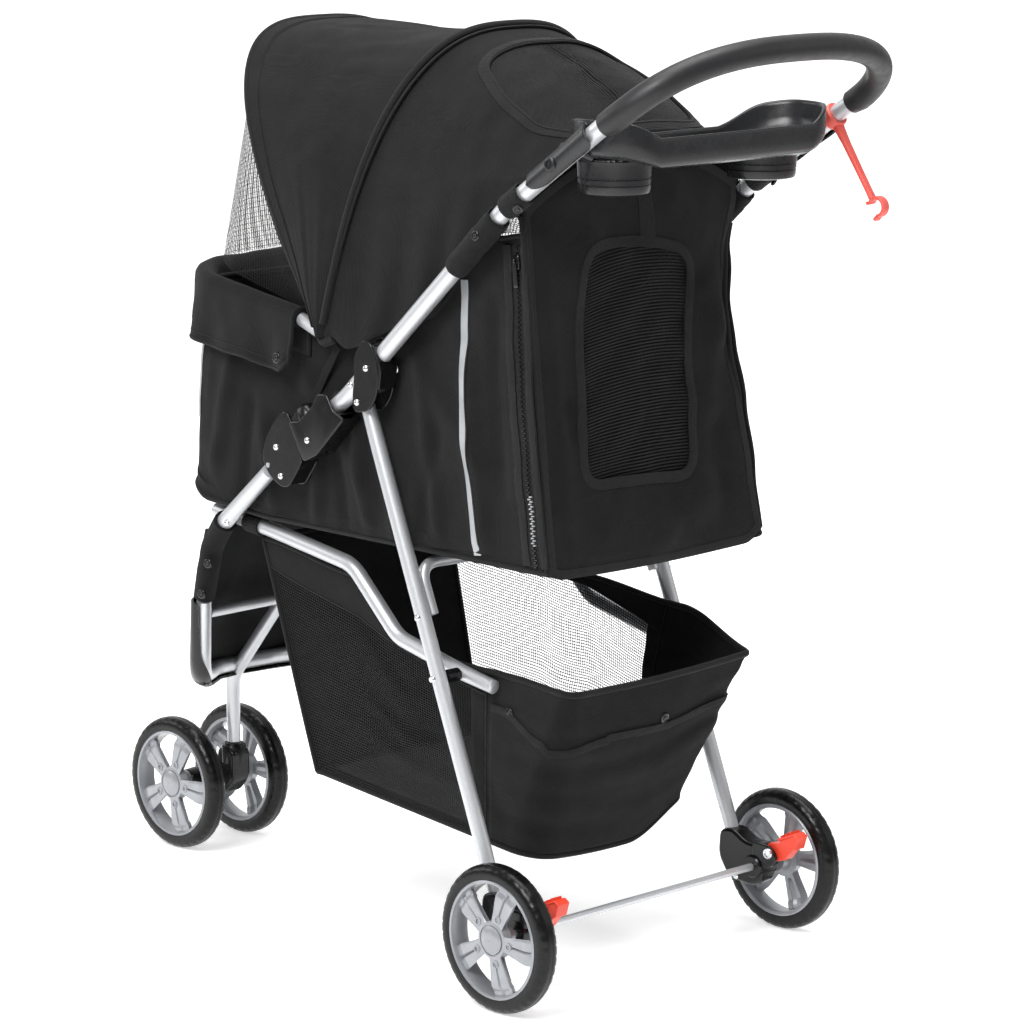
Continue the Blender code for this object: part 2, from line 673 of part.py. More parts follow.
def cabin():
    rings = []
    levels = 6
    for i in range(levels):
        t = i / (levels - 1)
        front = CABIN_FRONT_Y + 0.024 * t
        rear = CABIN_REAR_Y - 0.040 * t
        rings.append(tub_ring(CABIN_X + 0.004 * (1 - t), front, rear, 0.016, cabin_floor, cabin_rim, t))
    loft("cabin_tub", rings, "fabric", cyclic=True, floor=True)
    low = CABIN_FLOOR_Z + FABRIC + 0.0007
    block("base_board", (-0.1420, -0.1180, low), (0.1420, 0.2930, low + 0.0040), "board")
    low += 0.0044
    block("floor_pad", (-0.1380, -0.1150, low), (0.1380, 0.2850, low + 0.0157), "fabric", bevel=0.006)
    front_bar()


def front_bar():
    """The bar across the front of the cabin, from one hood pivot to the other, and its padded cover."""
    foot = (0.1670, -0.0060, 0.6320)
    sweep = [(0.1640, -0.0600, 0.6520), (0.1600, -0.2000, 0.6860), (0.1250, -0.2450, 0.6970),
             (0, -0.2540, 0.6990)]
    tube("front_bar", mirrored(rounded([foot] + sweep, 0.05)), LEG_R - 0.001, "satin_tube")
    sleeve("bar_cover", mirrored(rounded(sweep, 0.05)), 0.0115, LEG_R - 0.0002, "fabric")


# ---- hood ------------------------------------------------------------------
FRONT_BOW = {"width": 0.166, "reach": 0.352, "angle": radians(57.5), "square": 3.0}
MID_BOW = {"width": 0.171, "reach": 0.322, "angle": radians(106.0), "square": 2.7}
BOW_ROOT = 0.022                  # where a bow's foot starts, from the pivot


def bow_points(bow, count=15, grow=0.0):
    """Points along a bow, from the left foot over the top to the right foot."""
    y0, z0 = HOOD_PIVOT
    points = []
    for i in range(count):
        t = pi * i / (count - 1)
        c, s = cos(t), sin(t)
        x = (bow["width"] + grow) * (1 if c >= 0 else -1) * abs(c) ** (2 / bow["square"])
        out = BOW_ROOT + (bow["reach"] + grow - BOW_ROOT) * abs(s) ** (2 / bow["square"])
        points.append(Vector((x, y0 - out * cos(bow["angle"]), z0 + out * sin(bow["angle"]))))
    return points


def blend_rows(first, last, rows, bulge=0.0, centre=(0, 0.02, 0.62)):
    """Rows of points from one edge to another, pushed outwards in the middle."""
    centre = Vector(centre)
    result = []
    for i in range(rows):
        t = i / (rows - 1)
        row = []
        for a, b in zip(first, last):
            p = a.lerp(b, t)
            row.append(p + (p - centre).normalized() * bulge * sin(pi * t))
        result.append(row)
    return result


def hood():
    grow = 0.0065
    first = bow_points(dict(FRONT_BOW, angle=FRONT_BOW["angle"] + radians(1.5)), grow=grow)
    last = bow_points(dict(MID_BOW, angle=MID_BOW["angle"] - radians(1.5)), grow=grow)
    loft("hood_front_panel", blend_rows(first, last, 7, 0.005), "fabric")
    rear_edge = []
    count = len(first)
    for i in range(count):
        t = pi * i / (count - 1)
        x = 0.158 * (1 if cos(t) >= 0 else -1) * abs(cos(t)) ** 0.8
        lift = abs(sin(t)) ** 1.2
        rear_edge.append(Vector((x, 0.2680 + 0.016 * lift, 0.8000 + 0.052 * lift)))
    start_bow = dict(MID_BOW, angle=MID_BOW["angle"] + radians(1.5))
    loft("hood_rear_panel", blend_rows(bow_points(start_bow, grow=grow), rear_edge, 7, 0.002), "fabric")
    front_bow = tube("front_bow", bow_points(FRONT_BOW), 0.0030, "black_plastic", sides=8)
    mid_bow = tube("mid_bow", bow_points(MID_BOW), 0.0030, "black_plastic", sides=8)
    half = [(0.1500, -0.0550, 0.6700), (0.1450, -0.1800, 0.7030), (0.1100, -0.2260, 0.7170),
            (0, -0.2380, 0.7190)]
    bar = mirrored(rounded(half, 0.05))
    ahead = Vector((0, -sin(FRONT_BOW["angle"]), -cos(FRONT_BOW["angle"]))) * 0.0050
    mesh_edge = [p + ahead for p in bow_points(FRONT_BOW, count=len(bar))]
    loft("front_mesh", blend_rows(mesh_edge, bar, 5, 0.004), "mesh", thickness=0.0016)
    pivot("mid_bow_pivot", (0, *HOOD_PIVOT), mid_bow)
    pivot("front_bow_pivot", (0, *HOOD_PIVOT), front_bow)


# ---- tray, lock arm, sliders -----------------------------------------------
def slab(name, outline, low, high, slot):
    """A flat piece seen from above: an outline in (x, y) between two heights."""
    curve = bpy.data.curves.new(name, "CURVE")
    curve.dimensions = "2D"
    curve.fill_mode = "BOTH"
    curve.extrude = (high - low) / 2
    spline = curve.splines.new("POLY")
    spline.use_cyclic_u = True
    spline.points.add(len(outline) - 1)
    for point, (x, y) in zip(spline.points, outline):
        point.co = (x, y, 0, 1)
    obj = link(bpy.data.objects.new(name, curve))
    obj.location = (0, 0, (low + high) / 2)
    finish(obj, slot)
    return made_mesh(obj)


TRAY_FRONT_Y = 0.2980
TRAY_REAR_Y = 0.4060
TRAY_Z = (0.8300, 0.8540)          # underside and rim
TRAY_WALL = 0.0035
CUP = (0.1040, 0.3400, 0.0360)     # a cup well's centre in x and y, and its outer radius
CUP_FLOOR_Z = 0.8060


def tray_outline(inset):
    x, front, rear = 0.1500 - inset, TRAY_FRONT_Y + inset, TRAY_REAR_Y - inset
    half = [(x, front + 0.010), (x - 0.006, rear - 0.022), (x - 0.035, rear)]
    other = [(-px, py) for px, py in reversed(half)]
    return round_corners(half + other + [(-x + 0.030, front), (x - 0.030, front)], 0.015)


def tray():
    """The moulded parent tray between the push tubes: a rimmed dish, two cup wells and a clip at each end."""
    low, rim = TRAY_Z
    body = slab("tray", tray_outline(0), low, rim, "tray_plastic")
    cups, wells = [], []
    for side in (LEFT, RIGHT):
        x, y, radius = side * CUP[0], CUP[1], CUP[2]
        cups.append(rod("cup", (x, y, CUP_FLOOR_Z), (x, y, low + 0.002), radius, "tray_plastic", 20))
        floor = (x, y, CUP_FLOOR_Z + 0.003)
        wells.append(rod("well", floor, (x, y, rim + 0.01), radius - 0.003, "tray_plastic", 20))
    body = carve(body, cups, "UNION")
    dish = slab("dish", tray_outline(TRAY_WALL), low + TRAY_WALL, rim + 0.01, "tray_plastic")
    body = carve(body, [dish] + wells)
    clip_low, clip_high = along(PUSH_BEND, GRIP_END, 0.040), along(PUSH_BEND, GRIP_END, 0.122)
    for side in (LEFT, RIGHT):
        ends = [(side * TUBE_X, *clip_low), (side * TUBE_X, *clip_high)]
        clip = sleeve("clip", ends, 0.0125, TUBE_R + 2 * GAP, "tray_plastic")
        near, far = sorted((side * 0.1480, side * 0.1640))
        arm = block("arm", (near, 0.3250, 0.8320), (far, 0.3550, 0.8480), "tray_plastic")
        body = carve(body, [made_mesh(clip), made_mesh(arm)], "UNION")
    finish(body, "tray_plastic")


def lock_arm():
    """The red safety hook: a ring on the right push tube, an arm square to it and a hook at its end."""
    centre = along(PUSH_BEND, GRIP_END, 0.134)
    run = Vector((0, GRIP_END[0] - PUSH_BEND[0], GRIP_END[1] - PUSH_BEND[1])).normalized()
    down = Vector((0, run.z, -run.y))
    hub = Vector((RIGHT * TUBE_X, *centre))
    ring = sleeve("lock_arm", [hub - run * 0.006, hub + run * 0.006], 0.0125, TUBE_R + 2 * GAP, "lock_red")
    arm = tube("arm", [hub + down * 0.011, hub + down * 0.098], 0.0040, "lock_red", sides=8)
    bend = [hub + down * 0.0975, hub + down * 0.112 + run * 0.004, hub + down * 0.110 + run * 0.014]
    hook = tube("hook", bend, 0.0035, "lock_red", sides=8)
    ring = carve(made_mesh(ring), [made_mesh(arm), made_mesh(hook)], "UNION")
    finish(ring, "lock_red")
    pivot("lock_arm_pivot", hub, ring)


def zip_sliders():
    """The two sliders of the rear door's side zips, near the top of their travel."""
    for label, side in SIDES:
        x = side * (CABIN_X + 0.0045)
        low, high = (x - 0.0022, 0.2430, 0.7150), (x + 0.0022, 0.2520, 0.7300)
        slider = block("zip_slider_" + label, low, high, "steel", bevel=0.0008)
        pivot("zip_slide_" + label, (x, 0.2475, 0.7300), slider)


def apron():
    """The fabric apron inside the front U: from the rails' front down in front of the bars to the lip."""
    rows = []
    for z, side_y, middle_y, x in ((0.4050, -0.2220, -0.2260, 0.1480), (0.3600, -0.2390, -0.2560, 0.1460),
                                   (0.3150, -0.2510, -0.2930, 0.1440), (0.2750, -0.2590, -0.3230, 0.1420),
                                   (0.2440, -0.2680, -0.3500, 0.1340)):
        across = [1 - i / 5 for i in range(11)]
        rows.append([Vector((x * t, middle_y + (side_y - middle_y) * t * t, z)) for t in across])
    loft("front_apron", rows, "fabric", thickness=0.002)


def main():
    start()
    wheels()
    rear_frame()
    push_frame()
    front_frame()
    caster()
    side_rails()
    basket()
    cabin()
    hood()
    tray()
    lock_arm()
    zip_sliders()
    apron()
    for obj in bpy.data.collections[COLLECTION].objects:
        if obj.parent is None:
            obj.location.y -= DATUM_Y


main()
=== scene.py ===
"""Looks of the folding pet stroller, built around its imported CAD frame.

Metres, +Z up, +X the stroller's left, +Y its rear. The frame's numbers repeat the CAD source's
driving dimensions, whose drawing datum lies DATUM_Y in front of the row's origin.
"""

import json
from math import atan2, ceil, cos, exp, hypot, pi, radians, sin

import bmesh
import bpy
from mathutils import Matrix, Vector, noise

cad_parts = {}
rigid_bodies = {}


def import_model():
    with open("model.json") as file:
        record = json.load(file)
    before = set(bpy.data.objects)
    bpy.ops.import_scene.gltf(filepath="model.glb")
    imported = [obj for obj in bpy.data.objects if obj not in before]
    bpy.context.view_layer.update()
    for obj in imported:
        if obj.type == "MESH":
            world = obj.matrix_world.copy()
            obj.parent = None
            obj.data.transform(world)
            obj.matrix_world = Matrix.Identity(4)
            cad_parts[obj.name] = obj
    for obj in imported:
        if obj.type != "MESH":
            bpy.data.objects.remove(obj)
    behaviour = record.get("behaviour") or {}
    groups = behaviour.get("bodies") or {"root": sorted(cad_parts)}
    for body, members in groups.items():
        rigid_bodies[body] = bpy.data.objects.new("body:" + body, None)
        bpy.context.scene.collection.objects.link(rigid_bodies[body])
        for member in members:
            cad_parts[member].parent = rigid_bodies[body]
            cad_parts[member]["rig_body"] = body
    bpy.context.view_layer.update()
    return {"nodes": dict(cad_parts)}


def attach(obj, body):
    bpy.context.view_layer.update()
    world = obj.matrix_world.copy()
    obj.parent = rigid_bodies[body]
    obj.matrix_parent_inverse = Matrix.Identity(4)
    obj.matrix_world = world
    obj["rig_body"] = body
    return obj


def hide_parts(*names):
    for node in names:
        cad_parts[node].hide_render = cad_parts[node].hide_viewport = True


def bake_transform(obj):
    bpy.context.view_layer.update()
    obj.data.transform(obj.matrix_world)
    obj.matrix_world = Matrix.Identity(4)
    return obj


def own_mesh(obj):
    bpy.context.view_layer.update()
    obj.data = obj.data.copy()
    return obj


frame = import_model()
nodes = frame["nodes"]
scene = bpy.context.scene

# ---- driving dimensions, as in the CAD source --------------------------------
DATUM_Y = 0.00845
LEFT, RIGHT = 1, -1
SIDES = (("left", LEFT), ("right", RIGHT))
WHEEL_R = 0.075
REAR_TRACK_X, FRONT_TRACK_X = 0.2077, 0.0467
REAR_AXLE_Y, FRONT_AXLE_Y, SWIVEL_Y = 0.2875, -0.4015, -0.3585
TUBE_R, LEG_R, BRACE_R, GRIP_R = 0.009, 0.008, 0.006, 0.013
TUBE_X, LEG_X, RAIL_X = 0.1745, 0.1736, 0.140
FOLD_A, FOLD_B = (-0.0755, 0.4985), (0.0615, 0.5800)
FOLD_C, FOLD_D = (0.1660, 0.3115), (-0.1810, 0.4195)
HOOD_PIVOT = (-0.0025, 0.6320)
PUSH_KNEE, PUSH_BEND, GRIP_END = (0.0350, 0.5825), (0.2620, 0.7890), (0.3950, 0.8790)
HANDLE_REAR_Y = 0.4930
LEG_FOOT, BRAKE_PIVOT = (0.2500, 0.0980), (0.3090, 0.0930)
CABIN_X, CABIN_FLOOR_Z = 0.150, 0.4345


def at(x, y, z):
    """A point of the drawing, in the row frame."""
    return Vector((x, y - DATUM_Y, z))


def along(start_at, end_at, distance):
    dy, dz = end_at[0] - start_at[0], end_at[1] - start_at[1]
    length = hypot(dy, dz)
    return (start_at[0] + dy / length * distance, start_at[1] + dz / length * distance)


def smooth(t):
    t = min(1.0, max(0.0, t))
    return t * t * (3 - 2 * t)


def between(value, table, ease=False):
    """Interpolation in a short table of (value, result), straight or eased."""
    if value <= table[0][0]:
        return table[0][1]
    for (a, p), (b, q) in zip(table, table[1:]):
        if value <= b:
            t = (value - a) / (b - a)
            return p + (q - p) * (smooth(t) if ease else t)
    return table[-1][1]


def ripple(p, scale, seed=0.0):
    return noise.noise(Vector((p[0] * scale + seed, p[1] * scale, p[2] * scale)))


# ---- materials ---------------------------------------------------------------
class Graph:
    """A material under construction, and the few node patterns that the stroller's surfaces share."""

    def __init__(self, name, color, roughness, metallic=0.0, **sockets):
        self.material = bpy.data.materials.new(name)
        self.material.use_nodes = True
        self.tree = self.material.node_tree
        self.shader = self.tree.nodes["Principled BSDF"]
        self.shader.inputs["Base Color"].default_value = (*color, 1.0)
        self.shader.inputs["Roughness"].default_value = roughness
        self.shader.inputs["Metallic"].default_value = metallic
        for key, value in sockets.items():
            self.shader.inputs[key.replace("_", " ")].default_value = value
        self.place = self.add("ShaderNodeTexCoord").outputs["Object"]
        self.normal = None

    def add(self, kind, **settings):
        node = self.tree.nodes.new(kind)
        for key, value in settings.items():
            setattr(node, key, value)
        return node

    def wire(self, source, target):
        self.tree.links.new(source, target)

    def noise(self, scale, detail=3.0, stretch=None):
        node = self.add("ShaderNodeTexNoise")
        node.inputs["Scale"].default_value = scale
        node.inputs["Detail"].default_value = detail
        source = self.place
        if stretch:
            mapping = self.add("ShaderNodeMapping")
            mapping.inputs["Scale"].default_value = stretch
            self.wire(source, mapping.inputs["Vector"])
            source = mapping.outputs["Vector"]
        self.wire(source, node.inputs["Vector"])
        return node.outputs["Fac"]

    def threads(self, pitch):
        """Crossing threads: one sine along each axis, added, so that every face shows two of them."""
        total = None
        for axis in "XYZ":
            wave = self.add("ShaderNodeTexWave", wave_type="BANDS", bands_direction=axis,
                            wave_profile="SIN")
            wave.inputs["Scale"].default_value = 0.31416 / pitch
            wave.inputs["Distortion"].default_value = 0.4
            wave.inputs["Detail Scale"].default_value = 2.0
            self.wire(self.place, wave.inputs["Vector"])
            if total is None:
                total = wave.outputs["Fac"]
            else:
                total = self.math("ADD", total, wave.outputs["Fac"])
        return total

    def math(self, operation, first, second):
        node = self.add("ShaderNodeMath", operation=operation)
        for source, socket in zip((first, second), node.inputs):
            if isinstance(source, float):
                socket.default_value = source
            else:
                self.wire(source, socket)
        return node.outputs["Value"]

    def spread(self, source, low, high, to_low, to_high):
        node = self.add("ShaderNodeMapRange")
        for value, socket in zip((low, high, to_low, to_high), node.inputs[1:5]):
            socket.default_value = value
        self.wire(source, node.inputs["Value"])
        return node.outputs["Result"]

    def tint(self, source, low, high, dark, light):
        """The colour runs from dark to light as the source goes from low to high."""
        ramp = self.add("ShaderNodeValToRGB")
        ramp.color_ramp.elements[0].position = low
        ramp.color_ramp.elements[1].position = high
        ramp.color_ramp.elements[0].color = (*dark, 1.0)
        ramp.color_ramp.elements[1].color = (*light, 1.0)
        self.wire(source, ramp.inputs["Fac"])
        self.wire(ramp.outputs["Color"], self.shader.inputs["Base Color"])

    def gloss(self, source, low, high, to_low, to_high):
        self.wire(self.spread(source, low, high, to_low, to_high), self.shader.inputs["Roughness"])

    def relief(self, source, depth, strength=1.0):
        """Bump of the given depth in metres, on top of any relief added before."""
        bump = self.add("ShaderNodeBump")
        bump.inputs["Strength"].default_value = strength
        bump.inputs["Distance"].default_value = depth
        self.wire(source, bump.inputs["Height"])
        if self.normal is not None:
            self.wire(self.normal, bump.inputs["Normal"])
        self.normal = bump.outputs["Normal"]
        self.wire(self.normal, self.shader.inputs["Normal"])


def cloth_material(name, dark, light, pitch, roughness=0.82, sheen=0.04, grain=0.00022):
    g = Graph(name, light, roughness, Sheen_Weight=sheen, Sheen_Roughness=0.5, Specular_IOR_Level=0.13)
    g.tint(g.math("ADD", g.math("MULTIPLY", g.noise(9.0, 5.0), 0.4),
                  g.math("MULTIPLY", g.noise(700.0, 3.0), 0.6)),
           0.36, 0.66, dark, light)
    g.gloss(g.noise(35.0, 4.0), 0.3, 0.7, roughness - 0.07, roughness + 0.08)
    g.relief(g.noise(26.0, 4.0), 0.0016, 0.35)
    g.relief(g.threads(pitch), grain, 0.8)
    g.relief(g.noise(2200.0, 2.0), 0.00010, 0.5)
    return g.material


def tube_material():
    g = Graph("satin_tube", (0.60, 0.61, 0.63), 0.40, 0.70, Coat_Weight=0.20, Coat_Roughness=0.25)
    g.tint(g.noise(900.0, 2.0), 0.35, 0.65, (0.575, 0.585, 0.605), (0.635, 0.645, 0.665))
    g.gloss(g.noise(500.0, 3.0), 0.3, 0.7, 0.36, 0.45)
    g.relief(g.noise(1800.0, 2.0), 0.00003, 0.5)
    return g.material


def plastic_material(name, dark, light, roughness, grain=0.00006, spec=0.5):
    g = Graph(name, light, roughness, Specular_IOR_Level=spec)
    g.tint(g.noise(30.0, 4.0), 0.32, 0.70, dark, light)
    g.gloss(g.noise(90.0, 4.0), 0.3, 0.7, roughness - 0.06, roughness + 0.08)
    g.relief(g.noise(1800.0, 3.0), grain, 0.7)
    g.relief(g.noise(55.0, 2.0), 0.0004, 0.18)
    return g.material


def foam_material():
    g = Graph("foam", (0.014, 0.014, 0.015), 0.42, Specular_IOR_Level=0.40)
    g.tint(g.noise(14.0, 4.0), 0.3, 0.7, (0.012, 0.012, 0.013), (0.019, 0.019, 0.021))
    cells = g.add("ShaderNodeTexVoronoi")
    cells.inputs["Scale"].default_value = 1500.0
    g.wire(g.place, cells.inputs["Vector"])
    g.relief(cells.outputs["Distance"], 0.00012, 0.5)
    g.gloss(g.noise(120.0, 3.0), 0.3, 0.7, 0.36, 0.50)
    return g.material


def tyre_material():
    g = Graph("tyre", (0.004, 0.004, 0.0045), 0.28, Specular_IOR_Level=0.27)
    g.tint(g.noise(40.0, 4.0), 0.3, 0.75, (0.0030, 0.0030, 0.0034), (0.0060, 0.0060, 0.0065))
    g.gloss(g.noise(160.0, 4.0), 0.3, 0.7, 0.22, 0.34)
    g.relief(g.noise(900.0, 3.0), 0.00010, 0.6)
    return g.material


def rim_material():
    g = Graph("rim_grey", (0.31, 0.32, 0.34), 0.36, 0.45, Coat_Weight=0.25, Coat_Roughness=0.22)
    g.tint(g.noise(50.0, 3.0), 0.35, 0.7, (0.29, 0.30, 0.32), (0.34, 0.35, 0.37))
    flakes = g.noise(4200.0, 2.0)
    g.gloss(flakes, 0.35, 0.65, 0.28, 0.44)
    g.relief(g.noise(700.0, 2.0), 0.00004, 0.6)
    return g.material


def reflective_material():
    g = Graph("reflective_tape", (0.52, 0.53, 0.55), 0.42, 0.15, Sheen_Weight=0.2)
    g.tint(g.noise(45.0, 4.0), 0.3, 0.7, (0.31, 0.32, 0.335), (0.41, 0.42, 0.435))
    beads = g.add("ShaderNodeTexVoronoi")
    beads.inputs["Scale"].default_value = 1400.0
    g.wire(g.place, beads.inputs["Vector"])
    g.relief(beads.outputs["Distance"], 0.00010, 0.5)
    return g.material


def steel_material():
    g = Graph("steel", (0.72, 0.73, 0.75), 0.20, 1.0)
    g.gloss(g.noise(300.0, 3.0), 0.3, 0.7, 0.14, 0.30)
    g.relief(g.noise(900.0, 2.0), 0.00003, 0.6)
    return g.material


STEEL = steel_material()
TUBE = tube_material()
BLACK = plastic_material("black_plastic", (0.0045, 0.0045, 0.0050), (0.0075, 0.0075, 0.0080), 0.22, 0.00004,
                         0.38)
SNAP = plastic_material("snap_plastic", (0.005, 0.005, 0.0055), (0.009, 0.009, 0.0095), 0.18, 0.00002)
TRAY = plastic_material("tray_plastic", (0.014, 0.0145, 0.016), (0.019, 0.0195, 0.021), 0.27, 0.00003, 0.42)
BRAKE_RED = plastic_material("brake_red", (0.74, 0.045, 0.020), (0.84, 0.070, 0.032), 0.34, 0.00004)
LOCK_RED = plastic_material("lock_red", (0.76, 0.095, 0.075), (0.86, 0.140, 0.110), 0.38, 0.00004)
FOAM = foam_material()
TYRE = tyre_material()
RIM = rim_material()
TAPE = reflective_material()
FABRIC = cloth_material("fabric", (0.0045, 0.0045, 0.0048), (0.0120, 0.0120, 0.0124), 0.00075)
BINDING = cloth_material("binding", (0.0070, 0.0070, 0.0074), (0.0105, 0.0105, 0.0109), 0.0012, 0.66, 0.06,
                         0.0003)
WEBBING = cloth_material("webbing", (0.0060, 0.0060, 0.0063), (0.0095, 0.0095, 0.0099), 0.0018, 0.62, 0.05,
                         0.0004)
THREAD = cloth_material("mesh_thread", (0.0090, 0.0090, 0.0094), (0.0140, 0.0140, 0.0145), 0.0008, 0.60,
                        0.05)
PAD = cloth_material("pad_cloth", (0.0065, 0.0065, 0.0068), (0.0098, 0.0098, 0.0102), 0.0010, 0.85, 0.05)
BOARD = plastic_material("board", (0.030, 0.030, 0.031), (0.045, 0.045, 0.046), 0.70, 0.00012)


# ---- making pieces -----------------------------------------------------------
def piece(name, verts, faces, material, body, soft_edges=True):
    mesh = bpy.data.meshes.new(name)
    mesh.from_pydata([tuple(v) for v in verts], [], faces)
    mesh.materials.append(material)
    if soft_edges:
        mesh.shade_smooth()
    obj = bpy.data.objects.new(name, mesh)
    scene.collection.objects.link(obj)
    if body:
        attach(obj, body)
    return obj


def facing_out(obj):
    edit = bmesh.new()
    edit.from_mesh(obj.data)
    bmesh.ops.remove_doubles(edit, verts=edit.verts, dist=0.000005)
    bmesh.ops.recalc_face_normals(edit, faces=edit.faces)
    edit.to_mesh(obj.data)
    edit.free()
    return obj


def creased(obj, degrees=32):
    """Smooth shading that keeps the edges sharper than the given angle."""
    obj.data.shade_smooth()
    obj.data.set_sharp_from_angle(angle=radians(degrees))
    return obj


def bend(points, radius, steps=10):
    """A path with its inner corners rounded to about the given radius, as the CAD source does."""
    points = [Vector(p) for p in points]
    path = [points[0]]
    for before, corner, after in zip(points, points[1:], points[2:]):
        a, b = (before - corner).normalized(), (after - corner).normalized()
        half = a.angle(b) / 2
        reach = min(radius * cos(half) / sin(half), 0.45 * (before - corner).length,
                    0.45 * (after - corner).length)
        p, q = corner + a * reach, corner + b * reach
        path += [(1 - i / steps) ** 2 * p + 2 * i / steps * (1 - i / steps) * corner + (i / steps) ** 2 * q
                 for i in range(steps + 1)]
    path.append(points[-1])
    return path


def mirrored(points):
    points = [Vector(p) for p in points]
    return points + [Vector((-p.x, p.y, p.z)) for p in reversed(points) if abs(p.x) > 1e-6]


def tangents(path, closed):
    count = len(path)
    result = []
    for i in range(count):
        before = path[i - 1] if (i or closed) else path[0]
        after = path[(i + 1) % count] if (i < count - 1 or closed) else path[-1]
        result.append((after - before).normalized())
    return result


def sweep_data(path, section, up=None, closed=False, scale=None):
    """Vertices and faces of a closed section, given as (side, up) offsets, carried along a path."""
    path = [Vector(p) for p in path]
    runs = tangents(path, closed)
    side = runs[0].orthogonal().normalized()
    verts, faces = [], []
    for i, (point, run) in enumerate(zip(path, runs)):
        if up is not None:
            top = Vector(up[i] if isinstance(up, list) else up)
            top = (top - run * top.dot(run)).normalized()
            side = run.cross(top).normalized()
        else:
            side = (side - run * side.dot(run)).normalized()
            top = side.cross(run).normalized()
        grow = scale[i] if scale else 1.0
        verts += [point + side * a * grow + top * b * grow for a, b in section]
    count, rows = len(section), len(path)
    for i in range(rows if closed else rows - 1):
        k = (i + 1) % rows
        faces += [(i * count + j, i * count + (j + 1) % count, k * count + (j + 1) % count, k * count + j)
                  for j in range(count)]
    if not closed:
        faces += [tuple(reversed(range(count))), tuple(range((rows - 1) * count, rows * count))]
    return verts, faces


def ring(rx, ry=None, sides=24, power=1.0):
    ry = ry or rx
    result = []
    for i in range(sides):
        c, s = cos(2 * pi * i / sides), sin(2 * pi * i / sides)
        result.append((rx * (abs(c) ** power) * (1 if c >= 0 else -1),
                       ry * (abs(s) ** power) * (1 if s >= 0 else -1)))
    return result


def rounded_ends(path, radius, steps=3):
    """The path with short end stretches, and the section's scale at each point, for softly rounded ends."""
    path = [Vector(p) for p in path]
    head, tail = (path[1] - path[0]).normalized(), (path[-2] - path[-1]).normalized()
    lead, scales = [], []
    for i in range(steps):
        t = pi / 2 * i / steps
        lead.append((1 - cos(t)) * radius)
        scales.append(0.25 + 0.75 * sin(t))
    new = [path[0] + head * d for d in lead] + path[1:-1] + [path[-1] + tail * d for d in reversed(lead)]
    return new, scales + [1.0] * (len(path) - 2) + scales[::-1]


def sweep(name, path, section, material, body, up=None, closed=False, soft=0.0):
    scale = None
    if soft and not closed:
        path = [Vector(p) for p in path]
        if len(path) < 3:
            path = [path[0], path[0].lerp(path[1], 0.1), path[0].lerp(path[1], 0.9), path[1]]
        path, scale = rounded_ends(path, soft)
        if isinstance(up, list):
            up = up[:1] * 2 + up + up[-1:] * 2
    verts, faces = sweep_data(path, section, up, closed, scale)
    return creased(facing_out(piece(name, verts, faces, material, body)), 40)


def join(name, parts, body):
    """Several pieces as one object with its materials kept."""
    for o in bpy.context.selected_objects:
        o.select_set(False)
    for part in parts:
        matrix = part.matrix_world.copy()
        part.parent = None
        part.matrix_world = matrix
        part.select_set(True)
    bpy.context.view_layer.objects.active = parts[0]
    bpy.ops.object.join()
    obj = bpy.context.view_layer.objects.active
    obj.select_set(False)
    obj.name = name
    obj.data.name = name
    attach(obj, body)
    return obj


def surface(name, point, nu, nv, material, body, thickness=0.0016, offset=-1.0):
    """A cloth panel through point(u, v), with a real thickness."""
    verts = [point(i / nu, j / nv) for j in range(nv + 1) for i in range(nu + 1)]
    faces = [(j * (nu + 1) + i, j * (nu + 1) + i + 1, (j + 1) * (nu + 1) + i + 1, (j + 1) * (nu + 1) + i)
             for j in range(nv) for i in range(nu)]
    obj = piece(name, verts, faces, material, body)
    if thickness:
        solid = obj.modifiers.new("cloth", "SOLIDIFY")
        solid.thickness = thickness
        solid.offset = offset
    return obj


def net(name, point, nu, nv, wide_u, wide_v, body, inside=None, seg=24, material=None):
    """A knitted mesh on the surface point(u, v): flat threads, nu of them running along v and nv along u."""
    verts, faces = [], []

    def thread(fixed, along_v, width):
        last = None
        for k in range(seg + 1):
            t = k / seg
            u, v = (fixed, t) if along_v else (t, fixed)
            if inside and not inside(u, v):
                last = None
                continue
            e = 0.004
            here = point(u, v)
            if along_v:
                across = point(min(1, u + e), v) - point(max(0, u - e), v)
            else:
                across = point(u, min(1, v + e)) - point(u, max(0, v - e))
            across = across.normalized() * width / 2
            verts.extend((here - across, here + across))
            n = len(verts)
            if last is not None:
                faces.append((last, last + 1, n - 1, n - 2))
            last = n - 2

    for i in range(nu):
        thread((i + 0.5) / nu, True, wide_u)
    for i in range(nv):
        thread((i + 0.5) / nv, False, wide_v)
    return piece(name, verts, faces, material or THREAD, body)


def disc_data(radius, profile, sides=20):
    """Vertices and faces of a turned button: profile is (share of radius, height) from rim to centre."""
    verts, faces = [], []
    for share, height in profile:
        verts += [Vector((radius * share * cos(2 * pi * i / sides),
                          radius * share * sin(2 * pi * i / sides), height))
                  for i in range(sides)]
    for row in range(len(profile) - 1):
        faces += [(row * sides + i, row * sides + (i + 1) % sides, (row + 1) * sides + (i + 1) % sides,
                   (row + 1) * sides + i) for i in range(sides)]
    faces.append(tuple(range((len(profile) - 1) * sides, len(profile) * sides)))
    return verts, faces


DOME = [(1.0, 0.0), (1.0, 0.0006), (0.93, 0.0013), (0.75, 0.0021), (0.5, 0.0027), (0.25, 0.0030)]
STUD = [(1.0, 0.0), (1.0, 0.0012), (0.9, 0.0019), (0.66, 0.0020), (0.60, 0.0014), (0.45, 0.0013),
        (0.38, 0.0022),
        (0.2, 0.0026)]


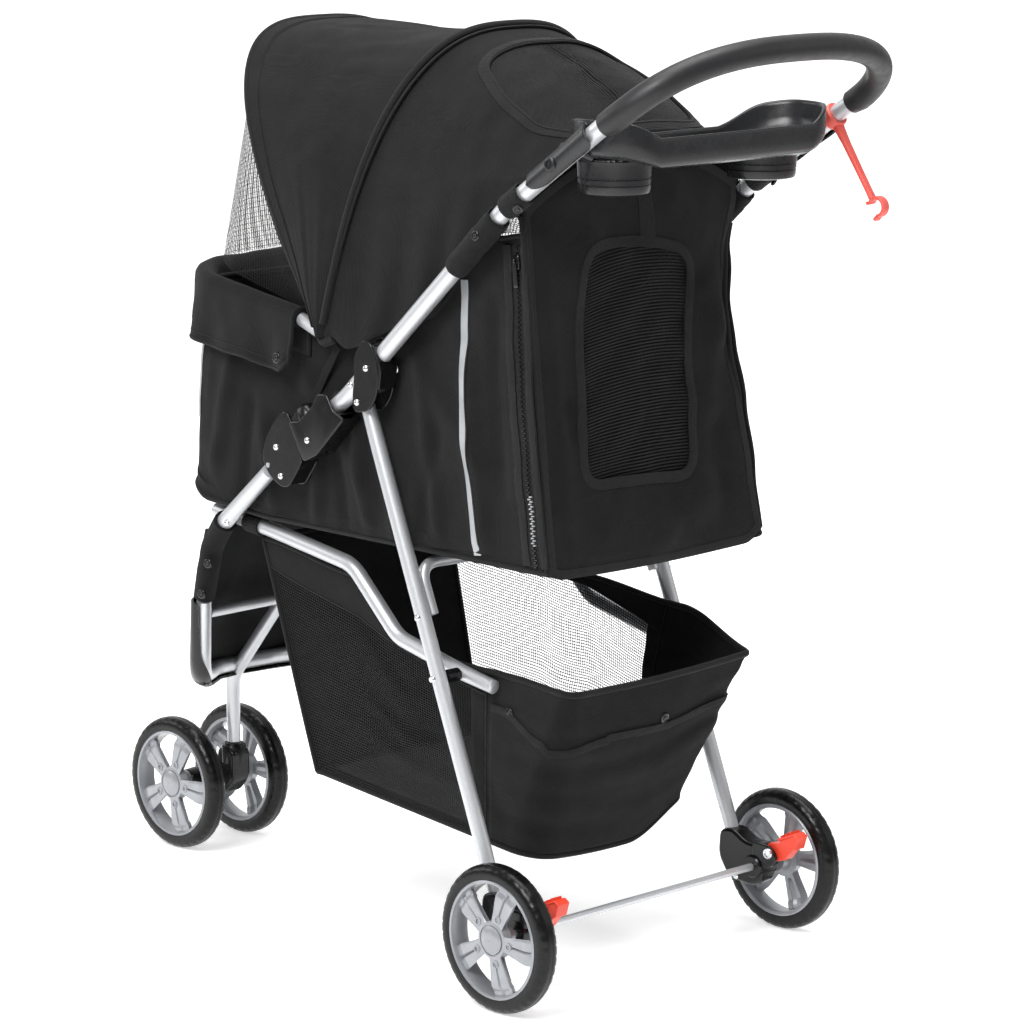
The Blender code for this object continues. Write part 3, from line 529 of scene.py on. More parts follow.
def buttons(name, places, radius, profile, material, body):
    """Rivet heads or press studs: places are (point, outward direction)."""
    verts, faces = [], []
    base, base_faces = disc_data(radius, profile)
    for point, out in places:
        turn = Vector(out).to_track_quat("Z", "Y").to_matrix()
        start = len(verts)
        verts += [Vector(point) + turn @ v for v in base]
        faces += [tuple(start + i for i in f) for f in base_faces]
    return creased(piece(name, verts, faces, material, body), 50)


def prism(name, outline, x0, x1, bevel, material, body, slot):
    """A side-view outline in (y, z) of the drawing, extruded from x0 to x1 with rounded edges."""
    edit = bmesh.new()
    base = [edit.verts.new(at(x0, y, z)) for y, z in outline]
    face = edit.faces.new(base)
    grown = bmesh.ops.extrude_face_region(edit, geom=[face])
    moved = [v for v in grown["geom"] if isinstance(v, bmesh.types.BMVert)]
    bmesh.ops.translate(edit, verts=moved, vec=(x1 - x0, 0, 0))
    bmesh.ops.recalc_face_normals(edit, faces=edit.faces)
    mesh = bpy.data.meshes.new(name)
    edit.to_mesh(mesh)
    edit.free()
    obj = bpy.data.objects.new(name, mesh)
    scene.collection.objects.link(obj)
    mesh.materials.append(material)
    if bevel:
        mod = obj.modifiers.new("edge", "BEVEL")
        mod.width = bevel
        mod.segments = 3
        mod.limit_method = "ANGLE"
        mod.angle_limit = radians(40)
    creased(obj, 35)
    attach(obj, body)
    return obj


def rounded_outline(points, radius, steps=5):
    result = []
    count = len(points)
    for i, corner in enumerate(points):
        corner = Vector(corner)
        a, b = Vector(points[i - 1]) - corner, Vector(points[(i + 1) % count]) - corner
        reach = min(radius, 0.45 * a.length, 0.45 * b.length)
        p, q = corner + a.normalized() * reach, corner + b.normalized() * reach
        shares = [j / steps for j in range(steps + 1)]
        result += [tuple((1 - t) ** 2 * p + 2 * t * (1 - t) * corner + t ** 2 * q) for t in shares]
    return result


def turned(name, profile, sides, material, place, body, ripple_by=None, crease=35):
    """A ring turned about local Z from a closed profile of (radius, height), moved by the matrix place."""
    verts = []
    count = len(profile)
    for i in range(sides):
        a = 2 * pi * i / sides
        for k, (r, h) in enumerate(profile):
            lift = ripple_by(a, k, r, h) if ripple_by else 0.0
            verts.append(place @ Vector(((r + lift) * cos(a), (r + lift) * sin(a), h)))
    faces = [(i * count + k, i * count + (k + 1) % count, ((i + 1) % sides) * count + (k + 1) % count,
              ((i + 1) % sides) * count + k) for i in range(sides) for k in range(count)]
    return creased(facing_out(piece(name, verts, faces, material, body)), crease)


def boolean(obj, cutters, operation="DIFFERENCE"):
    for cutter in cutters:
        mod = obj.modifiers.new("cut", "BOOLEAN")
        mod.operation = operation
        mod.solver = "EXACT"
        mod.object = cutter
    bpy.context.view_layer.update()
    mesh = bpy.data.meshes.new_from_object(obj.evaluated_get(bpy.context.evaluated_depsgraph_get()))
    obj.modifiers.clear()
    obj.data = mesh
    for cutter in cutters:
        bpy.data.objects.remove(cutter)
    return creased(obj, 35)


# ---- wheels ------------------------------------------------------------------
TYRE_LINE = [(0.0603, -0.0105), (0.0640, -0.0112), (0.0688, -0.0108), (0.0716, -0.0094), (0.0734, -0.0074),
             (0.0745, -0.0050), (0.0750, -0.0024), (0.0750, -0.0008), (0.0750, 0.0008), (0.0750, 0.0024),
             (0.0745, 0.0050), (0.0734, 0.0074), (0.0716, 0.0094), (0.0688, 0.0108), (0.0640, 0.0112),
             (0.0603, 0.0105)]
BARREL_LINE = [(0.0600, 0.0108), (0.0586, 0.0117), (0.0570, 0.0110), (0.0563, 0.0090), (0.0556, 0.0040),
               (0.0550, -0.0085), (0.0562, -0.0108), (0.0586, -0.0117), (0.0600, -0.0108)]
HUB_LINE = [(0.0004, 0.0142), (0.0050, 0.0140), (0.0095, 0.0133), (0.0128, 0.0122), (0.0142, 0.0112),
            (0.0146, 0.0096), (0.0156, 0.0096), (0.0160, 0.0108), (0.0178, 0.0108), (0.0188, 0.0100),
            (0.0194, 0.0040), (0.0198, 0.0010), (0.0130, 0.0000), (0.0120, -0.0110), (0.0050, -0.0116),
            (0.0045, 0.0060),
            (0.0004, 0.0062)]


def tread(angle, row, radius, height):
    """Slanted grooves across the shoulders of a tyre, and a fine line either side of its crown."""
    if row in (7, 8):
        return -0.0003
    if not 2 < row < 13:
        return 0.0
    phase = (angle * 40 / (2 * pi) + abs(height) * 55) % 1.0
    return -0.0007 if phase < 0.22 and row in (3, 4, 11, 12) else 0.0


def spoke(angle):
    """One spoke: a broad arm of two ribs with a V between them, and a faceted, notched foot on the barrel."""
    verts, faces = [], []
    rows, columns = 18, 17
    for j in range(rows):
        t = j / (rows - 1)
        r = 0.0165 + (0.0562 - 0.0165) * t
        half = 0.0084 + 0.0050 * smooth(t * 1.1)
        crown = 0.0104 - 0.0008 * t
        for i in range(columns):
            s = 2 * i / (columns - 1) - 1
            rib = crown - 0.0008 * smooth((abs(s) - 0.86) / 0.14)
            rib -= 0.0024 * smooth((t - 0.16) / 0.10) * smooth((0.03 + 0.13 * t - abs(s)) / 0.07)
            rib -= 0.0022 * smooth((t - 0.80) / 0.06)
            verts.append((r * cos(half * s / r), r * sin(half * s / r), rib))
    faces = [(j * columns + i, (j + 1) * columns + i, (j + 1) * columns + i + 1, j * columns + i + 1)
             for j in range(rows - 1) for i in range(columns - 1)]
    turn = Matrix.Rotation(angle, 3, "Z")
    return [turn @ Vector(v) for v in verts], faces


def wheel(label, x, y, side):
    place = Matrix.Translation(at(x, y, WHEEL_R)) @ Matrix.Rotation(side * pi / 2, 4, "Y")
    body = label.replace("_", "_wheel_", 1)
    tyre = turned(label + "_tyre_look", TYRE_LINE, 200, TYRE, place, body, tread, 28)
    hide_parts(label + "_tyre")
    barrel = turned(label + "_barrel", BARREL_LINE, 96, RIM, place, body)
    hub = turned(label + "_hub", HUB_LINE, 48, RIM, place, body, None, 40)
    parts = [barrel, hub]
    for i in range(5):
        angle = 2 * pi * i / 5 + 0.25
        verts, faces = spoke(angle)
        arm = piece(label + "_spoke_%d" % i, [place @ v for v in verts], faces, RIM, body)
        solid = arm.modifiers.new("thick", "SOLIDIFY")
        solid.thickness = 0.0078
        solid.offset = -1.0
        arm = creased(facing_out(boolean(arm, [])), 30)
        parts.append(arm)
        seat = place @ Vector((0.0242 * cos(angle), 0.0242 * sin(angle), 0.0060))
        boss, boss_faces = disc_data(0.0042, [(1.0, 0.0), (1.0, 0.0044), (0.90, 0.0054), (0.66, 0.0054),
                                              (0.58, 0.0036), (0.1, 0.0036)], 24)
        turn = place.to_3x3()
        parts.append(creased(piece(label + "_boss_%d" % i, [seat + turn @ v for v in boss], boss_faces, RIM,
                                   body), 40))
    rim = join(label + "_rim_look", parts, body)
    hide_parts(label + "_rim")


for _label, _side in SIDES:
    wheel("rear_" + _label, _side * REAR_TRACK_X, REAR_AXLE_Y, _side)
    wheel("front_" + _label, _side * FRONT_TRACK_X, FRONT_AXLE_Y, _side)


# ---- tubes -------------------------------------------------------------------
def pipe(name, points, radius, body, node=None, material=TUBE, sides=28, soft=0.0012):
    obj = sweep(name, [at(*p) for p in points], ring(radius, sides=sides), material, body, soft=soft)
    if node:
        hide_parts(node)
    return obj


def grip_path(steps=26):
    """The left half of the handle's loop, from the grip end to the middle."""
    y0, z0 = GRIP_END
    rise_y = HANDLE_REAR_Y - GRIP_R - y0
    path = []
    for i in range(steps):
        t = radians(90) * i / (steps - 1)
        x = TUBE_X * cos(t) ** 0.78 if i < steps - 1 else 0.0
        path.append(Vector((x, y0 + rise_y * sin(t) ** 0.70, z0 + 0.0680 * sin(t) ** 0.87)))
    return path


lower = bend([(TUBE_X, *along(FOLD_A, PUSH_KNEE, -0.009)), (TUBE_X, *PUSH_KNEE), (TUBE_X, *PUSH_BEND),
              (TUBE_X, *GRIP_END)], 0.12)
pipe("handle_look", mirrored(lower[:-1] + grip_path()), TUBE_R, "push_frame", "push_handle_tube", sides=36)
grip = pipe("grip_look", mirrored(grip_path()), GRIP_R, "push_frame", "foam_grip", FOAM, 40, 0.0035)
pipe("axle_look", [(-REAR_TRACK_X - 0.0055, REAR_AXLE_Y, WHEEL_R),
                   (REAR_TRACK_X + 0.0055, REAR_AXLE_Y, WHEEL_R)],
     0.0040, "rear_frame", "rear_axle")
brace_x = LEG_X - LEG_R - BRACE_R - 0.0003
knee = along(FOLD_B, LEG_FOOT, 0.165)
pipe("brace_look", mirrored(bend([(brace_x, *along(FOLD_B, LEG_FOOT, 0.225)), (brace_x, knee[0], 0.4195),
                                  (0, knee[0] + 0.012, 0.4195)], 0.03)), BRACE_R, "rear_frame",
     "rear_brace")
for _label, _side in SIDES:
    leg_x = _side * LEG_X
    pipe("leg_look_" + _label, [(leg_x, *along(FOLD_B, LEG_FOOT, -0.006)), (leg_x, *LEG_FOOT)], LEG_R,
         "rear_frame",
         "rear_leg_" + _label)
    top = along(FOLD_A, PUSH_KNEE, -0.0150)
    pipe("front_leg_look_" + _label,
         bend([(_side * TUBE_X, *top), (_side * 0.1590, *FOLD_D),
               (_side * 0.1530, -0.2080, 0.3900), (_side * 0.1450, -0.2320, 0.3280)], 0.05), TUBE_R,
         "front_frame",
         "front_leg_" + _label)
    pipe("rail_look_" + _label,
         bend([(_side * RAIL_X, y, z) for y, z in ((-0.2170, 0.4270), (-0.1250, 0.4170), (0.0015, 0.3980),
                                                   (0.0700, 0.3330), FOLD_C, (0.2120, 0.3040))], 0.045),
         LEG_R, "rails", "side_rail_" + _label, soft=0.003)
half = bend([(0.1447, -0.2330, 0.3254), (0.1370, -0.2470, 0.2430), (0.1000, -0.2850, 0.2280),
             (0.0400, -0.3420, 0.2160), (0, -0.3560, 0.2130)], 0.045)
pipe("u_bar_look", mirrored(half), TUBE_R, "front_frame", "front_u_bar")
cross = mirrored(bend([(0.1315, -0.2425, 0.3080), (0.0700, -0.2670, 0.3020), (0, -0.2710, 0.3010)], 0.12))
pipe("cross_look", cross, BRACE_R, "front_frame", "cross_tube")
lean = Vector((0, SWIVEL_Y + 0.2710, 0.1980 - 0.3010)).normalized()
stem_top = Vector((0, -0.2710, 0.3010)) + lean * 0.005
pipe("stem_look", bend([stem_top, (0, SWIVEL_Y, 0.1980), (0, SWIVEL_Y, 0.1215)], 0.04), LEG_R,
     "front_frame",
     "caster_stem")
pipe("bar_look", mirrored(bend([(0.1670, -0.0060, 0.6370), (0.1640, -0.0500, 0.6520),
                                (0.1600, -0.2000, 0.6730),
                                (0.1250, -0.2450, 0.6800), (0, -0.2540, 0.6815)], 0.05)), LEG_R - 0.001,
     "push_frame", "front_bar")


# ---- fold hardware -------------------------------------------------------------
RUN = (Vector(PUSH_KNEE) - Vector(FOLD_A)).normalized()


def on_tube(u, v):
    """(y, z) of a place u along the push tube's lower run from the fold pivot and v above it."""
    return (FOLD_A[0] + RUN.x * u - RUN.y * v, FOLD_A[1] + RUN.y * u + RUN.x * v)


def layered(name, outline, spans, bevel, material, body, slot):
    """The same side-view outline as several plates, as one object."""
    plates = [prism(name + "_%d" % i, outline, x0, x1, bevel, material, body, slot) for i,
              (x0, x1) in enumerate(spans)]
    return join(name, plates, body) if len(plates) > 1 else plates[0]


def hardware(label, side):
    rivets = {"push_frame": [], "front_frame": [], "rear_frame": [], "latch_" + label: [], "rails": []}
    out = Vector((side, 0, 0))

    blade = rounded_outline([(0.0700, 0.6450), (0.0815, 0.6420), (0.0935, 0.6170), (0.0905, 0.5900),
                             (0.0790, 0.5725),
                             (0.0560, 0.5690), (0.0540, 0.5850), (0.0570, 0.6060), (0.0560, 0.6260)], 0.010,
                            8)
    spans = [sorted((side * 0.1838, side * 0.1868)), sorted((side * 0.1622, side * 0.1652))]
    bracket = layered("bracket_look_" + label, blade, spans, 0.0009, BLACK, "push_frame", "black_plastic")
    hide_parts("upper_bracket_" + label)
    web = prism("bracket_web_" + label, rounded_outline([(0.0800, 0.6400), (0.0850, 0.6410),
                                                         (0.0962, 0.6170),
                                                         (0.0935, 0.5960), (0.0905, 0.5960),
                                                         (0.0920, 0.6160)], 0.003),
                *sorted((side * 0.1630, side * 0.1860)), 0.0008, BLACK, "push_frame", "black_plastic")
    web.name = "bracket_web_" + label
    rivets["push_frame"] += [(at(side * 0.1868, 0.0752, 0.6160), out), (at(side * 0.1868, *FOLD_B), out)]

    d_plate = rounded_outline([on_tube(*p) for p in ((0.0600, 0.0330), (0.0380, 0.0320), (0.0130, 0.0245),
                                                     (-0.0045, 0.0110), (-0.0060, -0.0100),
                                                     (0.0040, -0.0290),
                                                     (0.0145, -0.0340), (0.0483, -0.0240),
                                                     (0.0560, -0.0040))], 0.012, 8)
    spans = [sorted((side * 0.1839, side * 0.1872)), sorted((side * 0.1618, side * 0.1651))]
    plate = layered("fold_plate_look_" + label, d_plate, spans, 0.0010, BLACK, "front_frame",
                    "black_plastic")
    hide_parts("fold_bracket_" + label)
    prism("fold_web_" + label, rounded_outline([on_tube(*p) for p in ((0.0140, -0.0330), (0.0470, -0.0235),
                                                                      (0.0490, -0.0190),
                                                                      (0.0160, -0.0270))], 0.002),
          *sorted((side * 0.1625, side * 0.1865)), 0.0008, BLACK, "front_frame", "black_plastic")
    rivets["front_frame"] += [(at(side * 0.1872, *on_tube(0.0228, 0.0085)), out),
                              (at(side * 0.1872, *on_tube(0.0103, -0.0190)), out),
                              (at(side * 0.1836, -0.1467, 0.4275), out)]

    shell = rounded_outline([on_tube(*p) for p in ((0.0500, -0.0250), (0.0717, -0.0300), (0.1300, -0.0225),
                                                   (0.1222, -0.0080), (0.1238, 0.0120), (0.1120, 0.0200),
                                                   (0.0960, 0.0135), (0.0700, 0.0120), (0.0560, 0.0200))],
                            0.004, 6)
    latch = prism("latch_look_" + label, shell, *sorted((side * 0.1612, side * 0.1882)), 0.0018, BLACK,
                  "latch_" + label, "black_plastic")
    hollow = prism("latch_hollow", [on_tube(*p) for p in ((0.0900, -0.0115), (0.1500, -0.0115),
                                                          (0.1500, 0.0400),
                                                          (0.0900, 0.0400))],
                   *sorted((side * 0.1640, side * 0.1855)),
                   0.0, BLACK, "latch_" + label, "black_plastic")
    groove = prism("latch_groove", [on_tube(*p) for p in ((0.1080, -0.0215), (0.1500, -0.0190),
                                                          (0.1500, -0.0140),
                                                          (0.1080, -0.0140))],
                   *sorted((side * 0.1650, side * 0.1845)),
                   0.0, BLACK, "latch_" + label, "black_plastic")
    boolean(latch, [hollow, groove])
    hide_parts("fold_latch_" + label)
    verts, faces = disc_data(0.0125, [(1.0, 0.0), (0.99, 0.004), (0.93, 0.0095), (0.80, 0.0135),
                                      (0.55, 0.0158),
                                      (0.25, 0.0166)], 32)
    turn = Matrix.Rotation(atan2(RUN.y, RUN.x), 3, "X")
    seat = at(side * TUBE_X, *on_tube(0.0735, 0.0105))
    knob = piece("latch_knob_" + label, [seat + turn @ Vector((v.x, v.y * 0.95, v.z)) for v in verts],
                 faces, BLACK,
                 "latch_" + label)
    creased(facing_out(knob), 50)
    rivets["latch_" + label] += [(at(side * 0.1882, *on_tube(0.0702, -0.0110)), out)]

    rivets["push_frame"] += [(at(side * (TUBE_X + TUBE_R - 0.0006), 0.0480, 0.5960), out)]
    rivets["rear_frame"] += [(at(side * (LEG_X + LEG_R - 0.0004), *FOLD_C), out),
                             (at(side * (LEG_X + LEG_R - 0.0004), *along(FOLD_B, LEG_FOOT, 0.225)), out)]
    for body, places in rivets.items():
        if places:
            buttons("rivets_%s_%s" % (label, body), places, 0.0036, DOME, STEEL, body)
    eyelet = turned("eyelet_" + label, [(0.0030, -0.0006), (0.0058, -0.0006), (0.0062, 0.0002),
                                        (0.0056, 0.0009),
                                        (0.0034, 0.0009), (0.0028, 0.0002)], 32, STEEL,
                    Matrix.Translation(at(side * 0.1560, 0.0830, 0.6134)) @ Matrix.Rotation(side * pi / 2,
                                                                                            4, "Y"),
                    "push_frame")
    return eyelet


for _label, _side in SIDES:
    hardware(_label, _side)


# ---- axle housings, brakes, caster ----------------------------------------------
def housing(label, side):
    outline = rounded_outline([(0.2390, 0.1060), (0.2560, 0.1100), (0.2760, 0.0985), (0.2985, 0.0995),
                               (0.2985, 0.0600),
                               (0.2850, 0.0530), (0.2520, 0.0560), (0.2370, 0.0780)], 0.009, 8)
    body = prism("housing_look_" + label, outline,
                 *sorted((side * (LEG_X - 0.0116), side * (LEG_X + 0.0116))), 0.0030,
                 BLACK, "rear_frame", "black_plastic")
    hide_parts("axle_housing_" + label)
    cheek = rounded_outline([(0.2860, 0.1015), (0.3110, 0.1005), (0.3200, 0.0895), (0.3110, 0.0765),
                             (0.2860, 0.0750)],
                            0.007, 6)
    prism("housing_cheek_" + label, cheek, *sorted((side * (LEG_X - 0.0118), side * (LEG_X - 0.0074))),
          0.0010, BLACK,
          "rear_frame", "black_plastic")
    turn = Matrix.Rotation(side * pi / 2, 4, "Y")
    turned("housing_boss_" + label, [(0.0042, -0.0150), (0.0105, -0.0150), (0.0120, -0.0138),
                                     (0.0128, -0.0090),
                                     (0.0128, 0.0125), (0.0042, 0.0125)], 48, BLACK,
           Matrix.Translation(at(side * LEG_X, REAR_AXLE_Y, WHEEL_R)) @ turn, "rear_frame")
    inner = Vector((-side, 0, 0))
    screws = [(at(side * (LEG_X - 0.0119), *BRAKE_PIVOT), inner),
              (at(side * (LEG_X - 0.0117), 0.2640, 0.0600), inner)]
    buttons("housing_screws_" + label, screws[:1], 0.0058, [(1.0, 0.0), (1.0, 0.0012), (0.88, 0.0024),
                                                            (0.60, 0.0026),
                                                             (0.54, 0.0014), (0.2, 0.0014)], STEEL,
            "rear_frame")
    buttons("housing_rivet_" + label, screws[1:], 0.0036, DOME, STEEL, "rear_frame")

    y, z = BRAKE_PIVOT
    x0, x1 = sorted((side * (LEG_X - 0.0070), side * (LEG_X + 0.0092)))
    eye = [(y + 0.0102 * cos(radians(d)), z + 0.0102 * sin(radians(d))) for d in range(80, 290, 10)]
    wedge = eye + rounded_outline([(y + 0.0150, z - 0.0075), (y + 0.0290, z + 0.0090),
                                   (y + 0.0335, z + 0.0215),
                                   (y + 0.0290, z + 0.0240), (y + 0.0190, z + 0.0190),
                                   (y + 0.0090, z + 0.0150)],
                                  0.004, 5)[2:]
    lever = prism("brake_look_" + label, wedge, x0 + 0.0014, x1 - 0.0014, 0.0012, BRAKE_RED,
                  "brake_" + label,
                  "brake_red")
    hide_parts("brake_lever_" + label)
    tread_line = rounded_outline([(y + 0.0090, z + 0.0145), (y + 0.0190, z + 0.0185),
                                  (y + 0.0290, z + 0.0235),
                                  (y + 0.0335, z + 0.0215), (y + 0.0290, z + 0.0090),
                                  (y + 0.0315, z + 0.0080),
                                  (y + 0.0360, z + 0.0225), (y + 0.0295, z + 0.0262),
                                  (y + 0.0185, z + 0.0212),
                                  (y + 0.0080, z + 0.0168)], 0.0016, 4)
    prism("brake_tread_" + label, tread_line, x0, x1, 0.0008, BRAKE_RED, "brake_" + label, "brake_red")
    for k in range(3):
        a, b = y + 0.0115 + 0.0065 * k, z + 0.0172 + 0.0033 * k
        rib = [(a, b), (a + 0.0016, b + 0.0008), (a + 0.0010, b + 0.0036), (a - 0.0006, b + 0.0030)]
        prism("brake_rib_%s_%d" % (label, k), rib, x0 + 0.0010, x1 - 0.0010, 0.0004, BRAKE_RED,
              "brake_" + label,
              "brake_red")


for _label, _side in SIDES:
    housing(_label, _side)

caster_line = rounded_outline([(SWIVEL_Y + 0.0135, 0.1150), (SWIVEL_Y + 0.0135, 0.0800),
                               (SWIVEL_Y - 0.005, 0.0610),
                               (FRONT_AXLE_Y + 0.005, 0.0595), (FRONT_AXLE_Y - 0.0145, 0.0660),
                               (FRONT_AXLE_Y - 0.0145, 0.0870), (SWIVEL_Y - 0.0165, 0.1010),
                               (SWIVEL_Y - 0.0135, 0.1150)],
                              0.008, 7)
caster = prism("caster_look", caster_line, -0.0130, 0.0130, 0.0035, BLACK, "caster", "black_plastic")
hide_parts("caster_housing")
turned("caster_collar", [(0.0005, 0.0000), (0.0128, 0.0000), (0.0140, 0.0012), (0.0140, 0.0200),
                         (0.0130, 0.0215),
                         (0.0112, 0.0218), (0.0106, 0.0235), (0.0005, 0.0235)], 48, BLACK,
       Matrix.Translation(at(0, SWIVEL_Y, 0.0972)), "caster")
turned("caster_hub", [(0.0044, -0.0345), (0.0105, -0.0345), (0.0120, -0.0330), (0.0130, -0.0150),
                      (0.0130, 0.0150),
                      (0.0120, 0.0330), (0.0105, 0.0345), (0.0044, 0.0345)], 48, BLACK,
       Matrix.Translation(at(0, FRONT_AXLE_Y, WHEEL_R)) @ Matrix.Rotation(pi / 2, 4, "Y"), "caster")
pipe("caster_axle_look", [(-FRONT_TRACK_X - 0.0055, FRONT_AXLE_Y, WHEEL_R),
                          (FRONT_TRACK_X + 0.0055, FRONT_AXLE_Y, WHEEL_R)],
     0.0040, "caster", "caster_axle")

gutter = [(0.0142 * sin(radians(d)), 0.0142 * cos(radians(d))) for d in range(-84, 85, 12)]
gutter += [(0.0118 * sin(radians(d)), 0.0118 * cos(radians(d))) for d in range(84, -85, -12)]
lip_path = [at(*p) for p in mirrored(half)]
lip_ups = []
for _p in lip_path:
    _low = smooth((0.290 - _p.z) / 0.05)
    _side = 1 if _p.x > 0 else -1
    _wall = Vector((_side * 0.40, -0.92, 0))
    _foot = Vector((_p.x, _p.y + 0.2100, 0)).normalized() * 0.75 + Vector((0, 0, -0.66))
    lip_ups.append(_wall.lerp(_foot, _low).normalized())
lip = sweep("bumper_look", lip_path, gutter, BLACK, "front_frame", up=lip_ups)
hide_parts("front_bumper")


# ---- tray ----------------------------------------------------------------------
TRAY_LOW, TRAY_RIM, CUP_X, CUP_Y, CUP_LOW = 0.8300, 0.8540, 0.1040, 0.3400, 0.8060
TRAY_HORN, TRAY_MIDDLE_Y = 0.0310, 0.3520


def tray_ring(inset, z, lift):
    """One level of the tray seen from above, its ends raised by a share of their lift."""
    x, front, rear = 0.1560 - inset, 0.2980 + inset, 0.4060 - inset
    half_line = [(x - 0.024, front + 0.008), (x, front + 0.038), (x - 0.004, rear - 0.022),
                 (x - 0.032, rear)]
    outline = half_line + [(-a, b) for a, b in reversed(half_line)] + [(-x + 0.056, front),
                                                                       (x - 0.056, front)]
    result = []
    for a, b in rounded_outline(outline, 0.034, 10):
        rise = TRAY_HORN * smooth((abs(a) - 0.060) / 0.098) ** 1.5
        rise += 0.0040 * smooth((abs(b - TRAY_MIDDLE_Y) - 0.02) / 0.04)
        result.append(at(a, b, z + lift * (rise - 0.0040)))
    return result


def tray():
    levels = [(0.0085, TRAY_LOW, 0.58), (0.0030, TRAY_LOW + 0.0006, 0.60),
              (0.0006, TRAY_LOW + 0.0040, 0.66),
              (0.0, TRAY_LOW + 0.0120, 0.7), (0.0, TRAY_RIM - 0.0030, 1.0),
              (0.0004, TRAY_RIM - 0.0008, 1.0),
              (0.0016, TRAY_RIM, 1.0), (0.0028, TRAY_RIM - 0.0008, 1.0), (0.0034, TRAY_RIM - 0.0035, 1.0),
              (0.0040, TRAY_LOW + 0.0140, 0.8), (0.0070, TRAY_LOW + 0.0058, 0.62),
              (0.0130, TRAY_LOW + 0.0036, 0.58)]
    rings = [tray_ring(*level) for level in levels]
    count = len(rings[0])
    verts = [p for one in rings for p in one]
    faces = [(k * count + i, k * count + (i + 1) % count, (k + 1) * count + (i + 1) % count,
              (k + 1) * count + i)
             for k in range(len(rings) - 1) for i in range(count)]
    last = (len(rings) - 1) * count
    faces += [(last + i, last + (i + 1) % count, (i + 1) % count, i) for i in range(count)]
    facing_out(piece("tray_wall", verts, faces, TRAY, "push_frame"))
    verts, faces, spokes = [], [], 30
    for edge in rings[-1]:
        spine = at(edge.x * 0.55, TRAY_MIDDLE_Y, TRAY_LOW + 0.0022)
        verts += [edge.lerp(spine, k / spokes) for k in range(spokes + 1)]
    for i in range(count):
        for k in range(spokes):
            face = (i * (spokes + 1) + k, i * (spokes + 1) + k + 1,
                    ((i + 1) % count) * (spokes + 1) + k + 1,
                    ((i + 1) % count) * (spokes + 1) + k)
            centre = sum((verts[j] for j in face), Vector()) / 4
            if hypot(abs(centre.x) - CUP_X, centre.y + DATUM_Y - CUP_Y) > 0.0338:
                faces.append(face)
    dish = piece("tray_look", verts, faces, TRAY, "push_frame")
    solid = dish.modifiers.new("thick", "SOLIDIFY")
    solid.thickness = 0.0024
    solid.offset = 0.0
    for side in (LEFT, RIGHT):
        spot = Matrix.Translation(at(side * CUP_X, CUP_Y, CUP_LOW))
        cup = [(0.0005, 0.0), (0.0290, 0.0), (0.0335, 0.0012), (0.0346, 0.0040), (0.0350, 0.0088),
               (0.0343, 0.0093),
               (0.0343, 0.0101), (0.0352, 0.0106), (0.0354, 0.0150), (0.0347, 0.0155), (0.0347, 0.0163),
               (0.0356, 0.0168), (0.0360, 0.0290), (0.0368, 0.0330), (0.0345, 0.0345), (0.0322, 0.0310),
               (0.0316, 0.0060),
               (0.0290, 0.0032), (0.0200, 0.0028), (0.0005, 0.0028)]
        turned("cup_look_%d" % side, cup, 72, TRAY, spot, "push_frame", None, 30)
    run = (Vector(GRIP_END) - Vector(PUSH_BEND)).normalized()
    for side in (LEFT, RIGHT):
        verts = []
        rows, columns = 30, 18
        for j in range(rows + 1):
            t = j / rows
            s = 0.0500 + (0.0950 if side == LEFT else 0.0770) * t
            open_up = radians(108) * min(1.0, (1 - (1 - min(t / 0.40, 1.0)) ** 2.0) ** 0.5 + 0.02)
            open_down = radians(62) * min(1.0, (1 - (1 - min(t / 0.30, 1.0)) ** 2.0) ** 0.5 + 0.02)
            if t > 0.9:
                shrink = (1 - ((t - 0.9) / 0.1) ** 2 * 0.35)
                open_up, open_down = open_up * shrink, open_down * shrink
            r = 0.0127 + 0.0012 * smooth((t - 0.5) / 0.5)
            for i in range(columns + 1):
                a = -open_down + (open_up + open_down) * i / columns
                side_way, up_way = cos(a) * r, sin(a) * r
                y, z = along(PUSH_BEND, GRIP_END, s)
                verts.append(at(side * (TUBE_X + side_way), y - run.y * up_way, z + run.x * up_way))
        faces = [(j * (columns + 1) + i, j * (columns + 1) + i + 1, (j + 1) * (columns + 1) + i + 1,
                  (j + 1) * (columns + 1) + i) for j in range(rows) for i in range(columns)]
        if side == LEFT:
            faces = [tuple(reversed(f)) for f in faces]
        clip = piece("tray_clip_%d" % side, verts, faces, TRAY, "push_frame")
        solid = clip.modifiers.new("thick", "SOLIDIFY")
        solid.thickness = 0.0022
        solid.offset = -1.0
        solid.use_even_offset = True
        edge = clip.modifiers.new("edge", "BEVEL")
        edge.width = 0.0006
        edge.segments = 2
        y, z = along(PUSH_BEND, GRIP_END, 0.0900)
        boss = [(1.0, 0.0), (1.0, 0.0018), (0.88, 0.0026), (0.62, 0.0026), (0.56, 0.0012), (0.30, 0.0012),
                (0.24, 0.0022),
                (0.1, 0.0022)]
        buttons("tray_boss_%d" % side, [(at(side * (TUBE_X + 0.0126), y, z), (side, 0, 0))], 0.0068, boss,
                TRAY,
                "push_frame")
        sweep("tray_ear_%d" % side, [at(side * 0.1450, 0.3400, 0.8450), at(side * 0.1560, 0.3380, 0.8500),
                                     at(side * 0.1640, 0.3360, 0.8520)], ring(0.016, 0.0065, 28, 0.7), TRAY,
              "push_frame", up=(0, 0, 1))
    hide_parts("tray")


tray()


